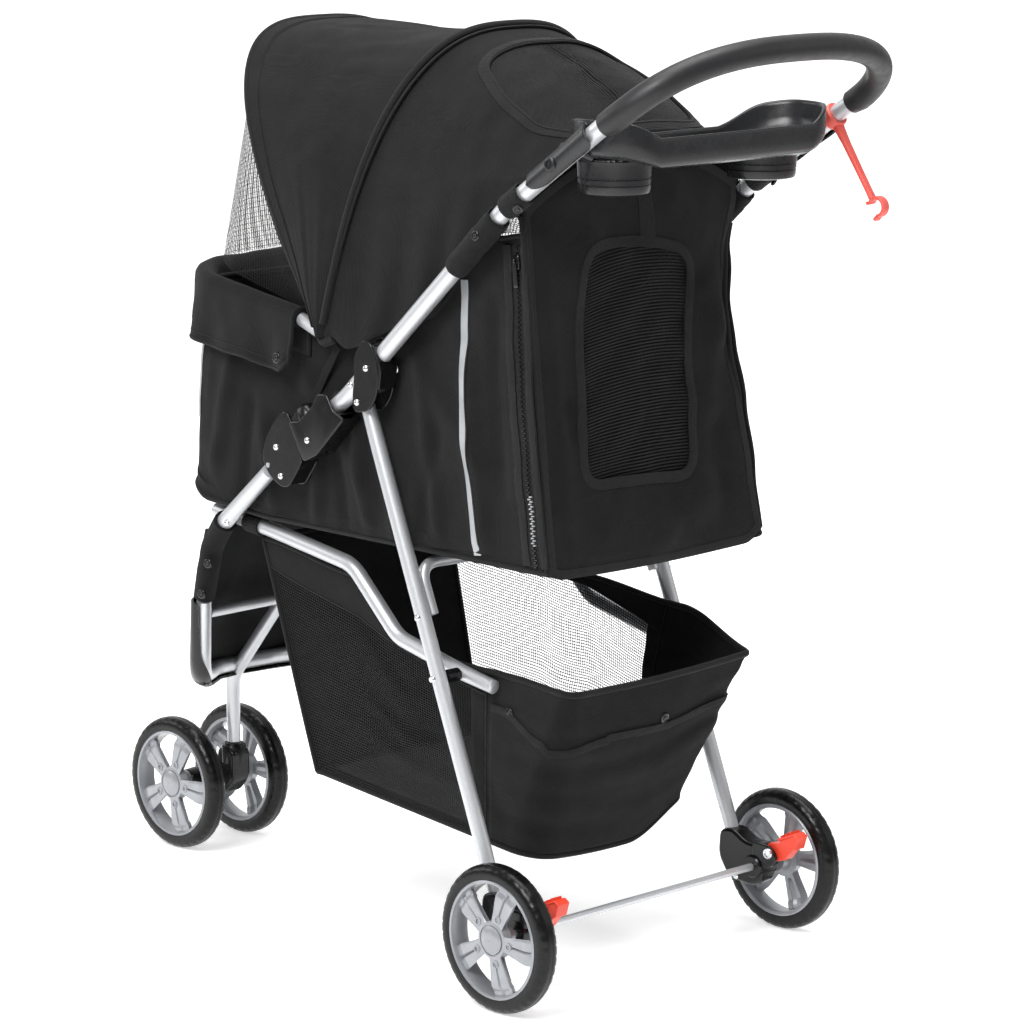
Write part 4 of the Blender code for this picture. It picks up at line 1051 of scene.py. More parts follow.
# ---- lock arm --------------------------------------------------------------------
def lock_arm():
    run2 = (Vector(GRIP_END) - Vector(PUSH_BEND)).normalized()
    run = Vector((0, run2.x, run2.y))
    down = Vector((0, run.z, -run.y))
    hub = at(RIGHT * TUBE_X, *along(PUSH_BEND, GRIP_END, 0.134))
    aim = run.to_track_quat("Z", "X").to_matrix().to_4x4()
    ring_line = [(0.0094, -0.0058), (0.0118, -0.0062), (0.0128, -0.0050), (0.0130, 0.0), (0.0128, 0.0050),
                 (0.0118, 0.0062), (0.0094, 0.0058)]
    loop = turned("lock_look", ring_line, 56, LOCK_RED, Matrix.Translation(hub) @ aim, "lock_arm")
    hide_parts("lock_arm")
    stations = [(0.0095, 1.55), (0.0150, 1.30), (0.0300, 1.05), (0.0600, 0.92), (0.0850, 0.88),
                (0.0960, 0.95)]
    path = [hub + down * d for d, _ in stations]
    verts, faces = sweep_data(path, ring(0.0042, 0.0030, 28, 0.55), Vector((0, run.y, run.z)), False,
                              [s for _, s in stations])
    creased(facing_out(piece("lock_bar", verts, faces, LOCK_RED, "lock_arm")), 45)
    centre = hub + down * 0.1045 + run * 0.0020
    claw = []
    for k in range(22):
        a = radians(42 - 255 * k / 21)
        claw.append(centre - down * (0.0090 * cos(a)) - run * (0.0090 * sin(a)))
    sweep("lock_claw", claw, ring(0.0048, 0.0018, 24, 0.5), LOCK_RED, "lock_arm",
          up=[(p - centre).normalized() for p in claw], soft=0.0012)
    for k in range(2):
        tab = centre - run * 0.0050 + down * (0.0084 if k else -0.0078)
        sweep("lock_tab_%d" % k, [tab, tab - run * 0.0045 + down * (0.0014 if k else -0.0014)],
              ring(0.0046, 0.0017, 24, 0.4), LOCK_RED,
              "lock_arm", up=down, soft=0.0008)


lock_arm()


# ---- cloth helpers -----------------------------------------------------------------
def crease_lines(p, q, lines):
    """Height of soft folds in a panel's own plane: each line is (p0, q0, p1, q1, width, height)."""
    total = 0.0
    for p0, q0, p1, q1, width, height in lines:
        dp, dq = p1 - p0, q1 - q0
        length2 = dp * dp + dq * dq
        t = ((p - p0) * dp + (q - q0) * dq) / length2
        fade = smooth((t + 0.15) / 0.3) * smooth((1.15 - t) / 0.3)
        t = min(1.0, max(0.0, t))
        off = hypot(p - p0 - dp * t, q - q0 - dq * t) / width
        total += height * fade * exp(-off * off)
    return total


def window_panel(name, point, window, middle, count, rings, body, thickness):
    """A cloth panel point(u, v) over the unit square with an opening, its grid running round the opening."""
    def hit(loop, angle):
        dx, dy = cos(angle), sin(angle)
        best = None
        for (ax, ay), (bx, by) in zip(loop, loop[1:] + loop[:1]):
            ex, ey = bx - ax, by - ay
            det = ex * dy - ey * dx
            if abs(det) < 1e-12:
                continue
            s = ((middle[0] - ax) * dy - (middle[1] - ay) * dx) / det
            far = ((ax - middle[0]) * ey - (ay - middle[1]) * ex) / (dx * ey - dy * ex)
            if -1e-9 <= s <= 1 + 1e-9 and far > 0 and (best is None or far < best):
                best = far
        return best

    square = [(0.0, 0.0), (1.0, 0.0), (1.0, 1.0), (0.0, 1.0)]
    angles = sorted([2 * pi * i / count - pi for i in range(count)]
                    + [atan2(y - middle[1], x - middle[0]) for x, y in square])
    verts, faces = [], []
    for angle in angles:
        near, far = hit(window, angle), hit(square, angle)
        for k in range(rings + 1):
            d = near + (far - near) * k / rings
            verts.append(point(middle[0] + cos(angle) * d, middle[1] + sin(angle) * d))
    total, step = len(angles), rings + 1
    faces = [(i * step + k, i * step + k + 1, ((i + 1) % total) * step + k + 1,
              ((i + 1) % total) * step + k)
             for i in range(total) for k in range(rings)]
    obj = piece(name, verts, faces, FABRIC, body)
    solid = obj.modifiers.new("cloth", "SOLIDIFY")
    solid.thickness = thickness
    solid.offset = 0.0
    return obj


def normal_at(point, u, v, e=0.004):
    a = point(min(1.0, u + e), v) - point(max(0.0, u - e), v)
    b = point(u, min(1.0, v + e)) - point(u, max(0.0, v - e))
    return a.cross(b).normalized()


def on_panel(name, point, line, section, material, body, outside, lift=0.0012, closed=False,
             soft=0.0):
    """A strip or cord sewn along a (u, v) line of a panel, on the side away from the point outside."""
    path, ups = [], []
    for u, v in line:
        here, out = point(u, v), normal_at(point, u, v)
        if out.dot(here - outside) < 0:
            out = -out
        path.append(here + out * lift)
        ups.append(out)
    return sweep(name, path, section, material, body, up=ups, closed=closed, soft=soft)


def dense(line, step=0.01, closed=False):
    """A (u, v) line with points at least every step."""
    ends = line[1:] + line[:1] if closed else line[1:]
    result = []
    for (a, b), (c, d) in zip(line, ends):
        count = max(1, ceil(hypot(c - a, d - b) / step))
        result += [(a + (c - a) * i / count, b + (d - b) * i / count) for i in range(count)]
    return result if closed else result + [line[-1]]


RIBBON = [(-1.0, -0.10), (-0.94, 0.35), (0.0, 0.55), (0.94, 0.35), (1.0, -0.10), (0.9, -0.5), (-0.9, -0.5)]


def ribbon_section(width, thickness):
    return [(a * width / 2, b * thickness) for a, b in RIBBON]


CABIN_MIDDLE = at(0, 0.03, 0.60)


# ---- cabin ---------------------------------------------------------------------------
RIM_LINE = [(-0.235, 0.676), (-0.150, 0.657), (-0.030, 0.634), (0.030, 0.634), (0.120, 0.668),
            (0.228, 0.757),
            (0.262, 0.762)]
FLOOR_LINE = [(-0.248, 0.4600), (-0.215, 0.4420), (-0.120, CABIN_FLOOR_Z), (0.300, CABIN_FLOOR_Z)]
RIGHT_EDGE = [(0.4345, 0.1500), (0.5000, 0.1430), (0.5720, 0.1348), (0.6300, 0.1260), (0.6746, 0.1238),
              (0.7200, 0.1290), (0.7930, 0.1500)]
SIDE_FOLDS = [(-0.200, 0.470, -0.165, 0.600, 0.010, 0.0040), (-0.150, 0.450, -0.135, 0.560, 0.009, -0.0035),
              (-0.100, 0.440, -0.115, 0.540, 0.012, 0.0040), (-0.035, 0.440, -0.030, 0.520, 0.009, 0.0038),
              (0.010, 0.440, 0.000, 0.530, 0.008, -0.0030), (0.045, 0.445, 0.030, 0.560, 0.009, 0.0042),
              (0.085, 0.440, 0.075, 0.500, 0.008, 0.0032), (0.120, 0.440, 0.150, 0.560, 0.010, -0.0032),
              (0.150, 0.450, 0.120, 0.620, 0.010, 0.0036), (0.215, 0.450, 0.190, 0.640, 0.012, 0.0034),
              (0.240, 0.500, 0.225, 0.700, 0.010, -0.0026), (-0.060, 0.600, 0.060, 0.470, 0.014, 0.0034),
              (0.100, 0.640, 0.220, 0.520, 0.014, 0.0026)]
WRAP_R = 0.030


def wall_outline():
    """The walls' line seen from above, from the rear left corner round the front to the rear right one."""
    line = [("L", i / 90) for i in range(91)]
    line += [("C", i / 16) for i in range(1, 16)]
    line += [("F", i / 60) for i in range(61)]
    line += [("D", i / 16) for i in range(1, 16)]
    line += [("R", i / 90) for i in range(91)]
    return line


def wall_point(kind, s, t):
    """A point of the cabin's wall: kind and s say where it is round the cabin, t how far up."""
    front, rear = -0.248 + 0.024 * t, 0.303 - 0.040 * t
    x = CABIN_X + 0.004 * (1 - t)
    if kind in "LR":
        run = s if kind == "L" else 1 - s
        y = rear + (front + WRAP_R - rear) * run
        side = 1 if kind == "L" else -1
        base, out = Vector((side * x, y)), Vector((side, 0))
    elif kind == "F":
        base, out = Vector(((x - WRAP_R) * (1 - 2 * s), front)), Vector((0, -1))
    else:
        side = 1 if kind == "C" else -1
        a = pi / 2 * (s if kind == "C" else 1 - s)
        base = Vector((side * (x - WRAP_R + WRAP_R * cos(a)), front + WRAP_R - WRAP_R * sin(a)))
        out = Vector((side * cos(a), -sin(a)))
    low, high = between(base.y, FLOOR_LINE), between(base.y, RIM_LINE, True)
    z = low + (high - low) * t
    swell = 0.0045 * sin(pi * min(1, t * 1.1)) if kind in "LR" else 0.0030 * sin(pi * t)
    if kind in "LR":
        folds = 1.5 * crease_lines(base.y + (0.013 if kind == "R" else 0.0), z, SIDE_FOLDS)
    elif kind == "F":
        folds = crease_lines(base.x, z, [(-0.10, 0.47, -0.06, 0.64, 0.014, 0.004),
                                         (-0.02, 0.47, 0.01, 0.60, 0.012, -0.003),
                                         (0.05, 0.48, 0.09, 0.66, 0.014, 0.004),
                                         (0.12, 0.48, 0.10, 0.60, 0.01, 0.003)])
    else:
        folds = 0.0
    loose = 0.0016 * ripple((base.x, base.y, z), 26.0) + 0.0022 * ripple((base.x, base.y, z), 11.0, 3.0)
    settle = smooth(t / 0.06) * smooth((1 - t) / 0.05)
    pull = 0.0
    if kind == "R":
        pull = (between(z, RIGHT_EDGE, True) - x) * smooth((base.y - 0.130) / 0.150)
    offset = (swell + folds + loose) * settle + 0.0004 + pull
    return at(base.x + out.x * offset, base.y + out.y * offset, z)


def walls():
    line = wall_outline()
    rows = 62
    verts = [wall_point(kind, s, j / rows) for j in range(rows + 1) for kind, s in line]
    n = len(line)
    faces = [(j * n + i, j * n + i + 1, (j + 1) * n + i + 1,
              (j + 1) * n + i) for j in range(rows) for i in range(n - 1)]
    obj = piece("cabin_walls", verts, faces, FABRIC, "push_frame")
    solid = obj.modifiers.new("cloth", "SOLIDIFY")
    solid.thickness = 0.0018
    solid.offset = 0.0
    for t, name, radius in ((0.0, "cabin_foot_piping", 0.0030), (1.0, "cabin_rim_piping", 0.0026)):
        path = [wall_point(kind, s, t) for kind, s in line]
        sweep(name, path, ring(radius, sides=12), BINDING, "push_frame")
    hem = [wall_point(kind, s, 0.045) for kind, s in line]
    ups = []
    for k, p in enumerate(hem):
        out = Vector((p.x - CABIN_MIDDLE.x, (p.y - CABIN_MIDDLE.y) * 0.5, 0)).normalized()
        hem[k] = p + out * 0.0006
        ups.append(out)
    sweep("cabin_foot_hem", hem, ribbon_section(0.013, 0.0012), FABRIC, "push_frame", up=ups)


def left_wall(u, v):
    return wall_point("L", 1 - u, v)


def right_wall(u, v):
    return wall_point("R", u, v)


def side_uv(y, z):
    """(u, v) of the left wall for a place of the side view, u running from front to rear."""
    v = 0.5
    for _ in range(6):
        front, rear = -0.248 + 0.024 * v + WRAP_R, 0.303 - 0.040 * v
        u = (y - front) / (rear - front)
        low, high = between(y, FLOOR_LINE), between(y, RIM_LINE, True)
        v = (z - low) / (high - low)
    return min(1.0, max(0.0, u)), min(1.0, max(0.0, v))


def reflective_strips():
    line = dense([side_uv(*p) for p in ((0.1815, 0.712), (0.1875, 0.593), (0.1960, 0.524),
                                        (0.2045, 0.440))], 0.02)
    for label, wall, out in (("left", left_wall, CABIN_MIDDLE), ("right", right_wall, CABIN_MIDDLE)):
        run = line if label == "left" else [(u, v) for u, v in line]
        on_panel("reflective_" + label, wall, run, ribbon_section(0.0104, 0.0011), TAPE, "push_frame", out,
                 0.0016)
        on_panel("reflective_backing_" + label, wall, run, ribbon_section(0.0150, 0.0010), BINDING,
                 "push_frame", out,
                 0.0009)
    for side in (LEFT, RIGHT):
        kind = "C" if side == LEFT else "D"
        path, ups = [], []
        for k in range(14):
            t = 0.90 - 0.55 * k / 13
            out = Vector((side * cos(radians(32)), -sin(radians(32)), 0))
            path.append(wall_point(kind, 0.36 if side == LEFT else 0.64, t) + out * 0.0018)
            ups.append(out)
        sweep("reflective_front_%d" % side, path, ribbon_section(0.0095, 0.0011), TAPE, "push_frame",
              up=ups)


def door_edges(z):
    left = between(z, [(0.4345, 0.1535), (0.782, 0.1515)])
    return left, -between(z, RIGHT_EDGE, True)


DOOR_FOLDS = [(0.120, 0.450, 0.128, 0.720, 0.010, 0.0030), (-0.085, 0.700, -0.120, 0.640, 0.020, 0.0050),
              (-0.080, 0.560, -0.110, 0.680, 0.016, 0.0040), (-0.100, 0.450, -0.090, 0.560, 0.016, -0.0040),
              (0.080, 0.480, -0.020, 0.455, 0.014, 0.0050), (0.010, 0.450, -0.090, 0.490, 0.018, 0.0040),
              (0.060, 0.770, 0.110, 0.700, 0.018, 0.0035), (-0.040, 0.790, -0.100, 0.740, 0.018, 0.0040),
              (0.120, 0.600, 0.105, 0.560, 0.012, -0.0030)]


def door(u, v):
    """The rear door: u from the left edge to the right one, v up."""
    z = CABIN_FLOOR_Z - 0.006 + 0.001 * u
    for _ in range(2):
        left, right = door_edges(z if z < 0.80 else 0.80)
        x = left + (right - left) * u
        top = 0.784 + 0.050 * (1 - min(1.0, (x / 0.152) ** 2)) + 0.006 * u
        z = (CABIN_FLOOR_Z - 0.006) * (1 - v) + top * v
    left, right = door_edges(min(z, 0.80))
    x = left + (right - left) * u
    y = 0.3035 - 0.0405 * min(1.0, v * 1.02)
    edge = smooth(u / 0.05) * smooth((1 - u) / 0.05) * smooth(v / 0.05) * smooth((1 - v) / 0.05)
    loose = 0.0030 * ripple((x, y, z), 12.0, 7.0) + 0.0014 * ripple((x, y, z), 30.0, 2.0)
    y += (0.0030 * sin(pi * u) + crease_lines(x, z, DOOR_FOLDS) + loose) * edge
    y -= 0.006 * smooth((u - 0.93) / 0.07) * smooth(1 - abs(z - 0.66) / 0.12)
    corners = 0.0120 * smooth((u - 0.90) / 0.10) ** 2 + 0.0040 * smooth((0.06 - u) / 0.06)
    z += corners * (1 - smooth(v / 0.08))
    z -= 0.0035 * sin(pi * u) * (1 - smooth(v / 0.15))
    return at(x, y, z)


def door_uv(x, z):
    v = 0.5
    for _ in range(8):
        left, right = door_edges(min(z, 0.80))
        u = (x - left) / (right - left)
        top = 0.784 + 0.050 * (1 - min(1.0, (x / 0.152) ** 2)) + 0.006 * u
        v = (z - CABIN_FLOOR_Z + 0.006) / (top - CABIN_FLOOR_Z + 0.006)
    return u, v


def rear_door():
    corners = [door_uv(*p) for p in ((0.100, 0.512), (0.083, 0.742), (-0.075, 0.728), (-0.057, 0.505))]
    window = rounded_outline(corners, 0.09, 8)
    middle = door_uv(0.012, 0.620)
    panel = window_panel("rear_door", door, window, middle, 260, 34, "push_frame", 0.0018)
    outside = at(0, -0.5, 0.6)
    loop = dense(window, 0.012, True)
    on_panel("window_binding", door, loop, ribbon_section(0.0110, 0.0022), BINDING, "push_frame", outside,
             0.0012, True)
    on_panel("window_inner_roll", door, [(middle[0] + (u - middle[0]) * 0.965,
                                          middle[1] + (v - middle[1]) * 0.975)
                                         for u, v in loop], ring(0.0013, sides=8), BINDING, "push_frame",
             outside,
             0.0010, True)

    def inside(u, v):
        count, hits = len(window), 0
        for i in range(count):
            (a, b), (c, d) = window[i], window[(i + 1) % count]
            if (b > v) != (d > v) and u < (c - a) * (v - b) / (d - b) + a:
                hits += 1
        return hits % 2 == 1

    u0, u1 = min(p[0] for p in window), max(p[0] for p in window)
    v0, v1 = min(p[1] for p in window), max(p[1] for p in window)

    def local(u, v):
        a, b = u0 + (u1 - u0) * u, v0 + (v1 - v0) * v
        p = door(a, b)
        return p + Vector((0, 0.0012 * sin(b * 47) * sin(a * 23) - 0.0010, 0))

    net("window_net", local, 70, 74, 0.0005, 0.0016, "push_frame",
        lambda u, v: inside(u0 + (u1 - u0) * u, v0 + (v1 - v0) * v), 64)
    tape = [door_uv(-0.0075 - 0.003 * k / 12, 0.826 - 0.083 * k / 12) for k in range(13)]
    on_panel("door_tape", door, tape, ribbon_section(0.0215, 0.0014), WEBBING, "push_frame", outside,
             0.0012)
    for name, line in (("door_left_edge", [(0.012, 0.002 + 0.99 * k / 60) for k in range(61)]),
                       ("door_right_edge", [(0.985, 0.002 + 0.99 * k / 60) for k in range(61)]),
                       ("door_foot_edge", [(0.01 + 0.98 * k / 50, 0.010) for k in range(51)]),
                       ("door_head_edge", [(0.01 + 0.98 * k / 50, 0.992) for k in range(51)])):
        on_panel(name, door, line, ribbon_section(0.0095, 0.0026), BINDING, "push_frame", outside, 0.0008)
    return panel


def zip_place(y_shift=0.0):
    """The zip's line on a wall, as places of the side view from bottom to top."""
    table = [(0.437, 0.2885), (0.554, 0.2750), (0.671, 0.2615), (0.758, 0.2545)]
    return [(between(z, table) + y_shift, z) for z in [0.440 + 0.312 * k / 60 for k in range(61)]]


def zips():
    for label, wall, side in (("left", left_wall, LEFT), ("right", right_wall, RIGHT)):
        line = [side_uv(*p) for p in zip_place()]
        for name, shift, width, thick, material, lift in (("zip_tape", 0.0, 0.0230, 0.0010, WEBBING,
                                                           0.0012),
                                                          ("zip_front_flap", -0.0130, 0.0110, 0.0030,
                                                           BINDING, 0.0022),
                                                          ("zip_rear_flap", 0.0115, 0.0090, 0.0028, BINDING,
                                                           0.0020)):
            run = [side_uv(*p) for p in zip_place(shift)]
            on_panel("%s_%s" % (name, label), wall, run, ribbon_section(width, thick), material,
                     "push_frame",
                     CABIN_MIDDLE, lift)
        verts, faces, marks = [], [], []
        spots = [wall(*uv) for uv in line]
        count = 132
        for k in range(count):
            place = k / (count - 1) * (len(spots) - 1)
            i = min(int(place), len(spots) - 2)
            p = spots[i].lerp(spots[i + 1], place - i)
            run = (spots[i + 1] - spots[i]).normalized()
            out = Vector((side, 0, 0))
            across = run.cross(out).normalized() * (1 if k % 2 else -1)
            centre = p + out * 0.0022 + across * 0.0011
            start = len(verts)
            for a, b, c in ((-1, -1, -1), (1, -1, -1), (1, 1, -1), (-1, 1, -1), (-0.7, -0.8, 1),
                            (0.8, -0.6, 1),
                            (0.8, 0.6, 1), (-0.7, 0.8, 1)):
                verts.append(centre + across * 0.0019 * a + run * 0.00085 * b + out * 0.0009 * c)
            faces += [tuple(start + f for f in face) for face in ((3, 2, 1, 0), (4, 5, 6, 7), (0, 1, 5, 4),
                                                                  (1, 2, 6, 5),
                                                                  (2, 3, 7, 6), (3, 0, 4, 7))]
            marks += [1 if 8 < k < 30 else 0] * 6
        teeth = piece("zip_teeth_" + label, verts, faces, SNAP, "push_frame", False)
        teeth.data.materials.append(TAPE)
        for face, mark in zip(teeth.data.polygons, marks):
            face.material_index = mark
        stop = spots[-4]
        out = Vector((side, 0, 0))
        seat = stop + out * 0.0036
        run = (spots[-1] - spots[-5]).normalized()
        across = run.cross(out).normalized()
        body = "zip_slider_" + label
        shape = [(-0.0042, -0.0075), (0.0042, -0.0075), (0.0050, 0.0020), (0.0036, 0.0070),
                 (-0.0036, 0.0070),
                 (-0.0050, 0.0020)]
        rows = []
        for lift, grow in ((-0.0016, 0.90), (-0.0010, 1.0), (0.0010, 1.0), (0.0018, 0.86)):
            rows += [seat + across * a * grow + run * b * grow + out * lift for a,
                     b in rounded_outline(shape, 0.0015, 3)]
        n = len(rows) // 4
        faces = [(j * n + i, j * n + (i + 1) % n, (j + 1) * n + (i + 1) % n, (j + 1) * n + i)
                 for j in range(3) for i in range(n)] + [tuple(reversed(range(n))),
                                                         tuple(range(3 * n, 4 * n))]
        slider = creased(facing_out(piece("zip_slider_look_" + label, rows, faces, SNAP, body)),
                         40)
        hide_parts("zip_slider_" + label)
        hinge = [seat + out * 0.0016 + run * 0.0040 + across * 0.0 + out * 0.0020 * sin(pi * k / 8)
                 - run * 0.0055 * k / 8 for k in range(9)]
        sweep("zip_bridge_" + label, hinge, ring(0.0012, sides=10), SNAP, body)
        pull = [seat + out * 0.0030 - run * (0.0010 + 0.0240 * k / 8) - out * 0.0012 * k / 8
                for k in range(9)]
        sweep("zip_pull_" + label, pull, ribbon_section(0.0058, 0.0018), SNAP, body, up=out,
              soft=0.001)


def cabin_floor():
    def point(u, v):
        y = -0.2440 + 0.5450 * v
        wide = 0.1520 - (0.030 - (0.030 ** 2 - max(0.0, -0.2140 - y) ** 2) ** 0.5)
        x = wide * (1 - 2 * u)
        z = between(y, FLOOR_LINE) - 0.0030 + 0.0006 * ripple((x, y, 0), 18.0)
        z -= 0.0035 * sin(pi * u) * smooth((y + 0.245) / 0.1)
        return at(x, y, z)

    sheet_obj = surface("cabin_floor_cloth", point, 50, 90, FABRIC, "push_frame", 0.0014, 0.0)


def corner_netting():
    """The triangle of pale netting above the zip, between the push tube and the hood's foot."""
    a, b, c = at(0.1530, 0.2300, 0.7620), at(0.1530, 0.2680, 0.8000), at(0.1530, 0.2700, 0.7660)

    def point(u, v):
        return a.lerp(b, u).lerp(a.lerp(c, u), v)

    for side in (LEFT, RIGHT):
        def place(u, v, side=side):
            p = point(u, v)
            return Vector((side * p.x, p.y, p.z))
        net("corner_net_%d" % side, place, 10, 12, 0.0006, 0.0006, "push_frame", None, 6)


def corner_cords():
    for label, side in SIDES:
        path = []
        for k in range(61):
            z = 0.4320 + 0.3500 * k / 60
            x = between(z, [(0.4345, 0.1535), (0.782, 0.1515)]) if side == LEFT else between(z, RIGHT_EDGE,
                                                                                             True)
            y = 0.3035 - 0.0405 * (z - 0.4285) / 0.3650
            path.append(at(side * (x - 0.0004), y - 0.0022, z))
        sweep("cabin_corner_" + label, path, ring(0.0036, sides=14), BINDING, "push_frame",
              soft=0.002)


walls()
corner_cords()
reflective_strips()
cabin_door = rear_door()
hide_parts("cabin_tub")
zips()
cabin_floor()
corner_netting()


# ---- front bar cover --------------------------------------------------------------------
def bar_cover():
    line = bend([at(0.1640, -0.0460, 0.6510), at(0.1600, -0.2000, 0.6730), at(0.1250, -0.2450, 0.6800),
                 at(0, -0.2540, 0.6815)], 0.05, 16)
    line = mirrored(line)
    total = [0.0]
    for a, b in zip(line, line[1:]):
        total.append(total[-1] + (b - a).length)
    length = total[-1]
    profile = [(-0.0105, -0.040), (-0.0110, -0.022), (-0.0112, -0.006), (-0.0090, 0.0055),
               (-0.0040, 0.0105),
               (0.0020, 0.0112), (0.0080, 0.0085), (0.0112, 0.0030), (0.0122, -0.006), (0.0128, -0.018),
               (0.0136, -0.027), (0.0146, -0.035), (0.0152, -0.043), (0.0154, -0.050), (0.0150, -0.056)]

    def spot(s):
        d = s * length
        k = max(0, min(len(total) - 2, next((i for i, t in enumerate(total) if t >= d),
                                            len(total) - 1) - 1))
        t = (d - total[k]) / (total[k + 1] - total[k])
        run = (line[min(k + 2, len(line) - 1)] - line[max(k - 1, 0)])
        out = Vector((run.y, -run.x, 0)).normalized()
        p = line[k].lerp(line[k + 1], t)
        return p, -out if out.dot(Vector((p.x, p.y + 0.12, 0))) < 0 else out

    def point(u, v):
        p, out = spot(min(1.0, max(0.0, u)))
        place = v * (len(profile) - 1)
        k = min(int(place), len(profile) - 2)
        a, b = Vector(profile[k]), Vector(profile[k + 1])
        q = a.lerp(b, place - k)
        hang = smooth((v - 0.50) / 0.5)
        wave = 0.0036 * hang * sin(u * 61 + 1.4 * sin(u * 23)) + 0.0030 * hang * ripple((u * 2.6, v * 0.4,
                                                                                         0), 5.0, 4.0)
        droop = 0.0050 * hang * ripple((u * 2.0, 0.3, 0), 5.0, 9.0)
        soft = 0.0010 * ripple((p.x, p.y, p.z + v * 0.1), 40.0)
        droop += 0.014 * hang * (1 - smooth(min(u, 1 - u) / 0.035)) ** 2
        return p + out * (q.x + wave + soft) + Vector((0, 0, q.y + droop + soft))

    cover = surface("bar_cover_look", point, 200, 44, PAD, "push_frame", 0.0020, 0.0)
    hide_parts("bar_cover")
    for name, run in (("cover_hem", dense([(0.004, 0.995), (0.996, 0.995)], 0.008)),
                      ("cover_end_left", dense([(0.004, 0.02), (0.004, 0.99)], 0.03)),
                      ("cover_end_right", dense([(0.996, 0.02), (0.996, 0.99)], 0.03))):
        path = [point(u, v) for u, v in run]
        sweep(name, path, ring(0.0022, sides=10), BINDING, "push_frame")
    seam = [point(u, 0.905) for u in [0.01 + 0.98 * k / 120 for k in range(121)]]
    seam = [p + spot(0.01 + 0.98 * k / 120)[1] * 0.0011 for k, p in enumerate(seam)]
    sweep("cover_seam", seam, ring(0.0006, sides=6), THREAD, "push_frame")
    places = []
    for u in (0.030, 0.970):
        places.append((point(u, 0.86) + spot(u)[1] * 0.0012, spot(u)[1]))
    buttons("cover_studs", places, 0.0060, STUD, SNAP, "push_frame")
    pad_section = ring(0.0106, sides=20)
    inner = sweep("bar_padding", line, pad_section, PAD, "push_frame", soft=0.004)
    return cover


bar_cover()


# ---- hood -------------------------------------------------------------------------------
FRONT_BOW = (0.166, 0.352, radians(57.5), 3.0)
MID_BOW = (0.171, 0.322, radians(106.0), 2.7)


def bow_point(bow, t, grow=0.0, turn=0.0, root=0.022):
    width, reach, angle, square = bow
    c, s = cos(pi * t), sin(pi * t)
    x = (width + grow) * (1 if c >= 0 else -1) * abs(c) ** (2 / square)
    out = root + (reach + grow - root) * abs(s) ** (2 / square)
    return Vector((x, HOOD_PIVOT[0] - out * cos(angle + turn), HOOD_PIVOT[1] + out * sin(angle + turn)))


HOOD_MIDDLE = Vector((0, 0.02, 0.62))


def even(u):
    """Spreads the points of a bow evenly along its length, away from its corners."""
    return u + 0.030 * sin(4 * pi * u) * (0.5 - abs(u - 0.5))


def hood_front(u, v):
    u = even(u)
    a, b = bow_point(FRONT_BOW, u, 0.0066, radians(-1.0), 0.006), bow_point(MID_BOW, u, 0.0066,
                                                                            radians(0.5), 0.006)
    p = a.lerp(b, v)
    p.z += 0.0120 * sin(pi * u) ** 0.6 * (1 - smooth(v * 1.05))
    away = (p - HOOD_MIDDLE).normalized()
    rise = abs(sin(pi * u)) ** 0.5
    dip = 0.0060 - 0.0110 * rise * smooth(1 - abs(u - 0.5) * 2.4)
    loose = 0.0050 * ripple((p.x, p.y, p.z), 8.0, 5.0) + 0.0018 * ripple((p.x * 2.2, p.y, p.z), 22.0, 1.0)
    pull = 0.0010 * sin(6 * pi * v + 5.0 * ripple((u, v, 0), 5.0)) * exp(-((u - 0.06) / 0.06) ** 2)
    pull += 0.0010 * sin(7 * pi * v + 5.0 * ripple((u, v, 0), 5.0)) * exp(-((u - 0.94) / 0.06) ** 2)
    return p + away * ((dip + loose) * sin(pi * v) + pull * sin(pi * v)) - Vector((0, DATUM_Y, 0))


def rear_edge(u):
    c, s = cos(pi * u), sin(pi * u)
    lift = abs(s) ** 1.2
    return Vector((0.158 * (1 if c >= 0 else -1) * abs(c) ** 0.8, 0.2680 + 0.016 * lift,
                   0.8000 + 0.052 * lift))


def hood_rear(u, v):
    a, b = bow_point(MID_BOW, u, 0.0058, radians(-0.3), 0.006), rear_edge(u)
    p = a.lerp(b, v)
    edge = 1 - smooth(min(u, 1 - u) / 0.13)
    target = between(p.y, [(-0.004, 0.634), (0.030, 0.630), (0.120, 0.660), (0.228, 0.748), (0.268, 0.800)],
                     True)
    p.z -= max(0.0, p.z - target) * edge * smooth(v / 0.12)
    away = (p - HOOD_MIDDLE).normalized()
    bulge = 0.0150 * smooth(1 - abs(u - 0.5) * 2.2) + 0.0020
    loose = 0.0045 * ripple((p.x, p.y, p.z), 9.0, 8.0) + 0.0014 * ripple((p.x, p.y * 2.0, p.z), 24.0, 2.0)
    pull = 0.0026 * sin(9 * pi * v + 1.5) * (exp(-((u - 0.05) / 0.06) ** 2) + exp(-((u - 0.95) / 0.06) ** 2))
    return p + away * ((bulge + loose + pull) * sin(pi * v)) - Vector((0, DATUM_Y, 0))


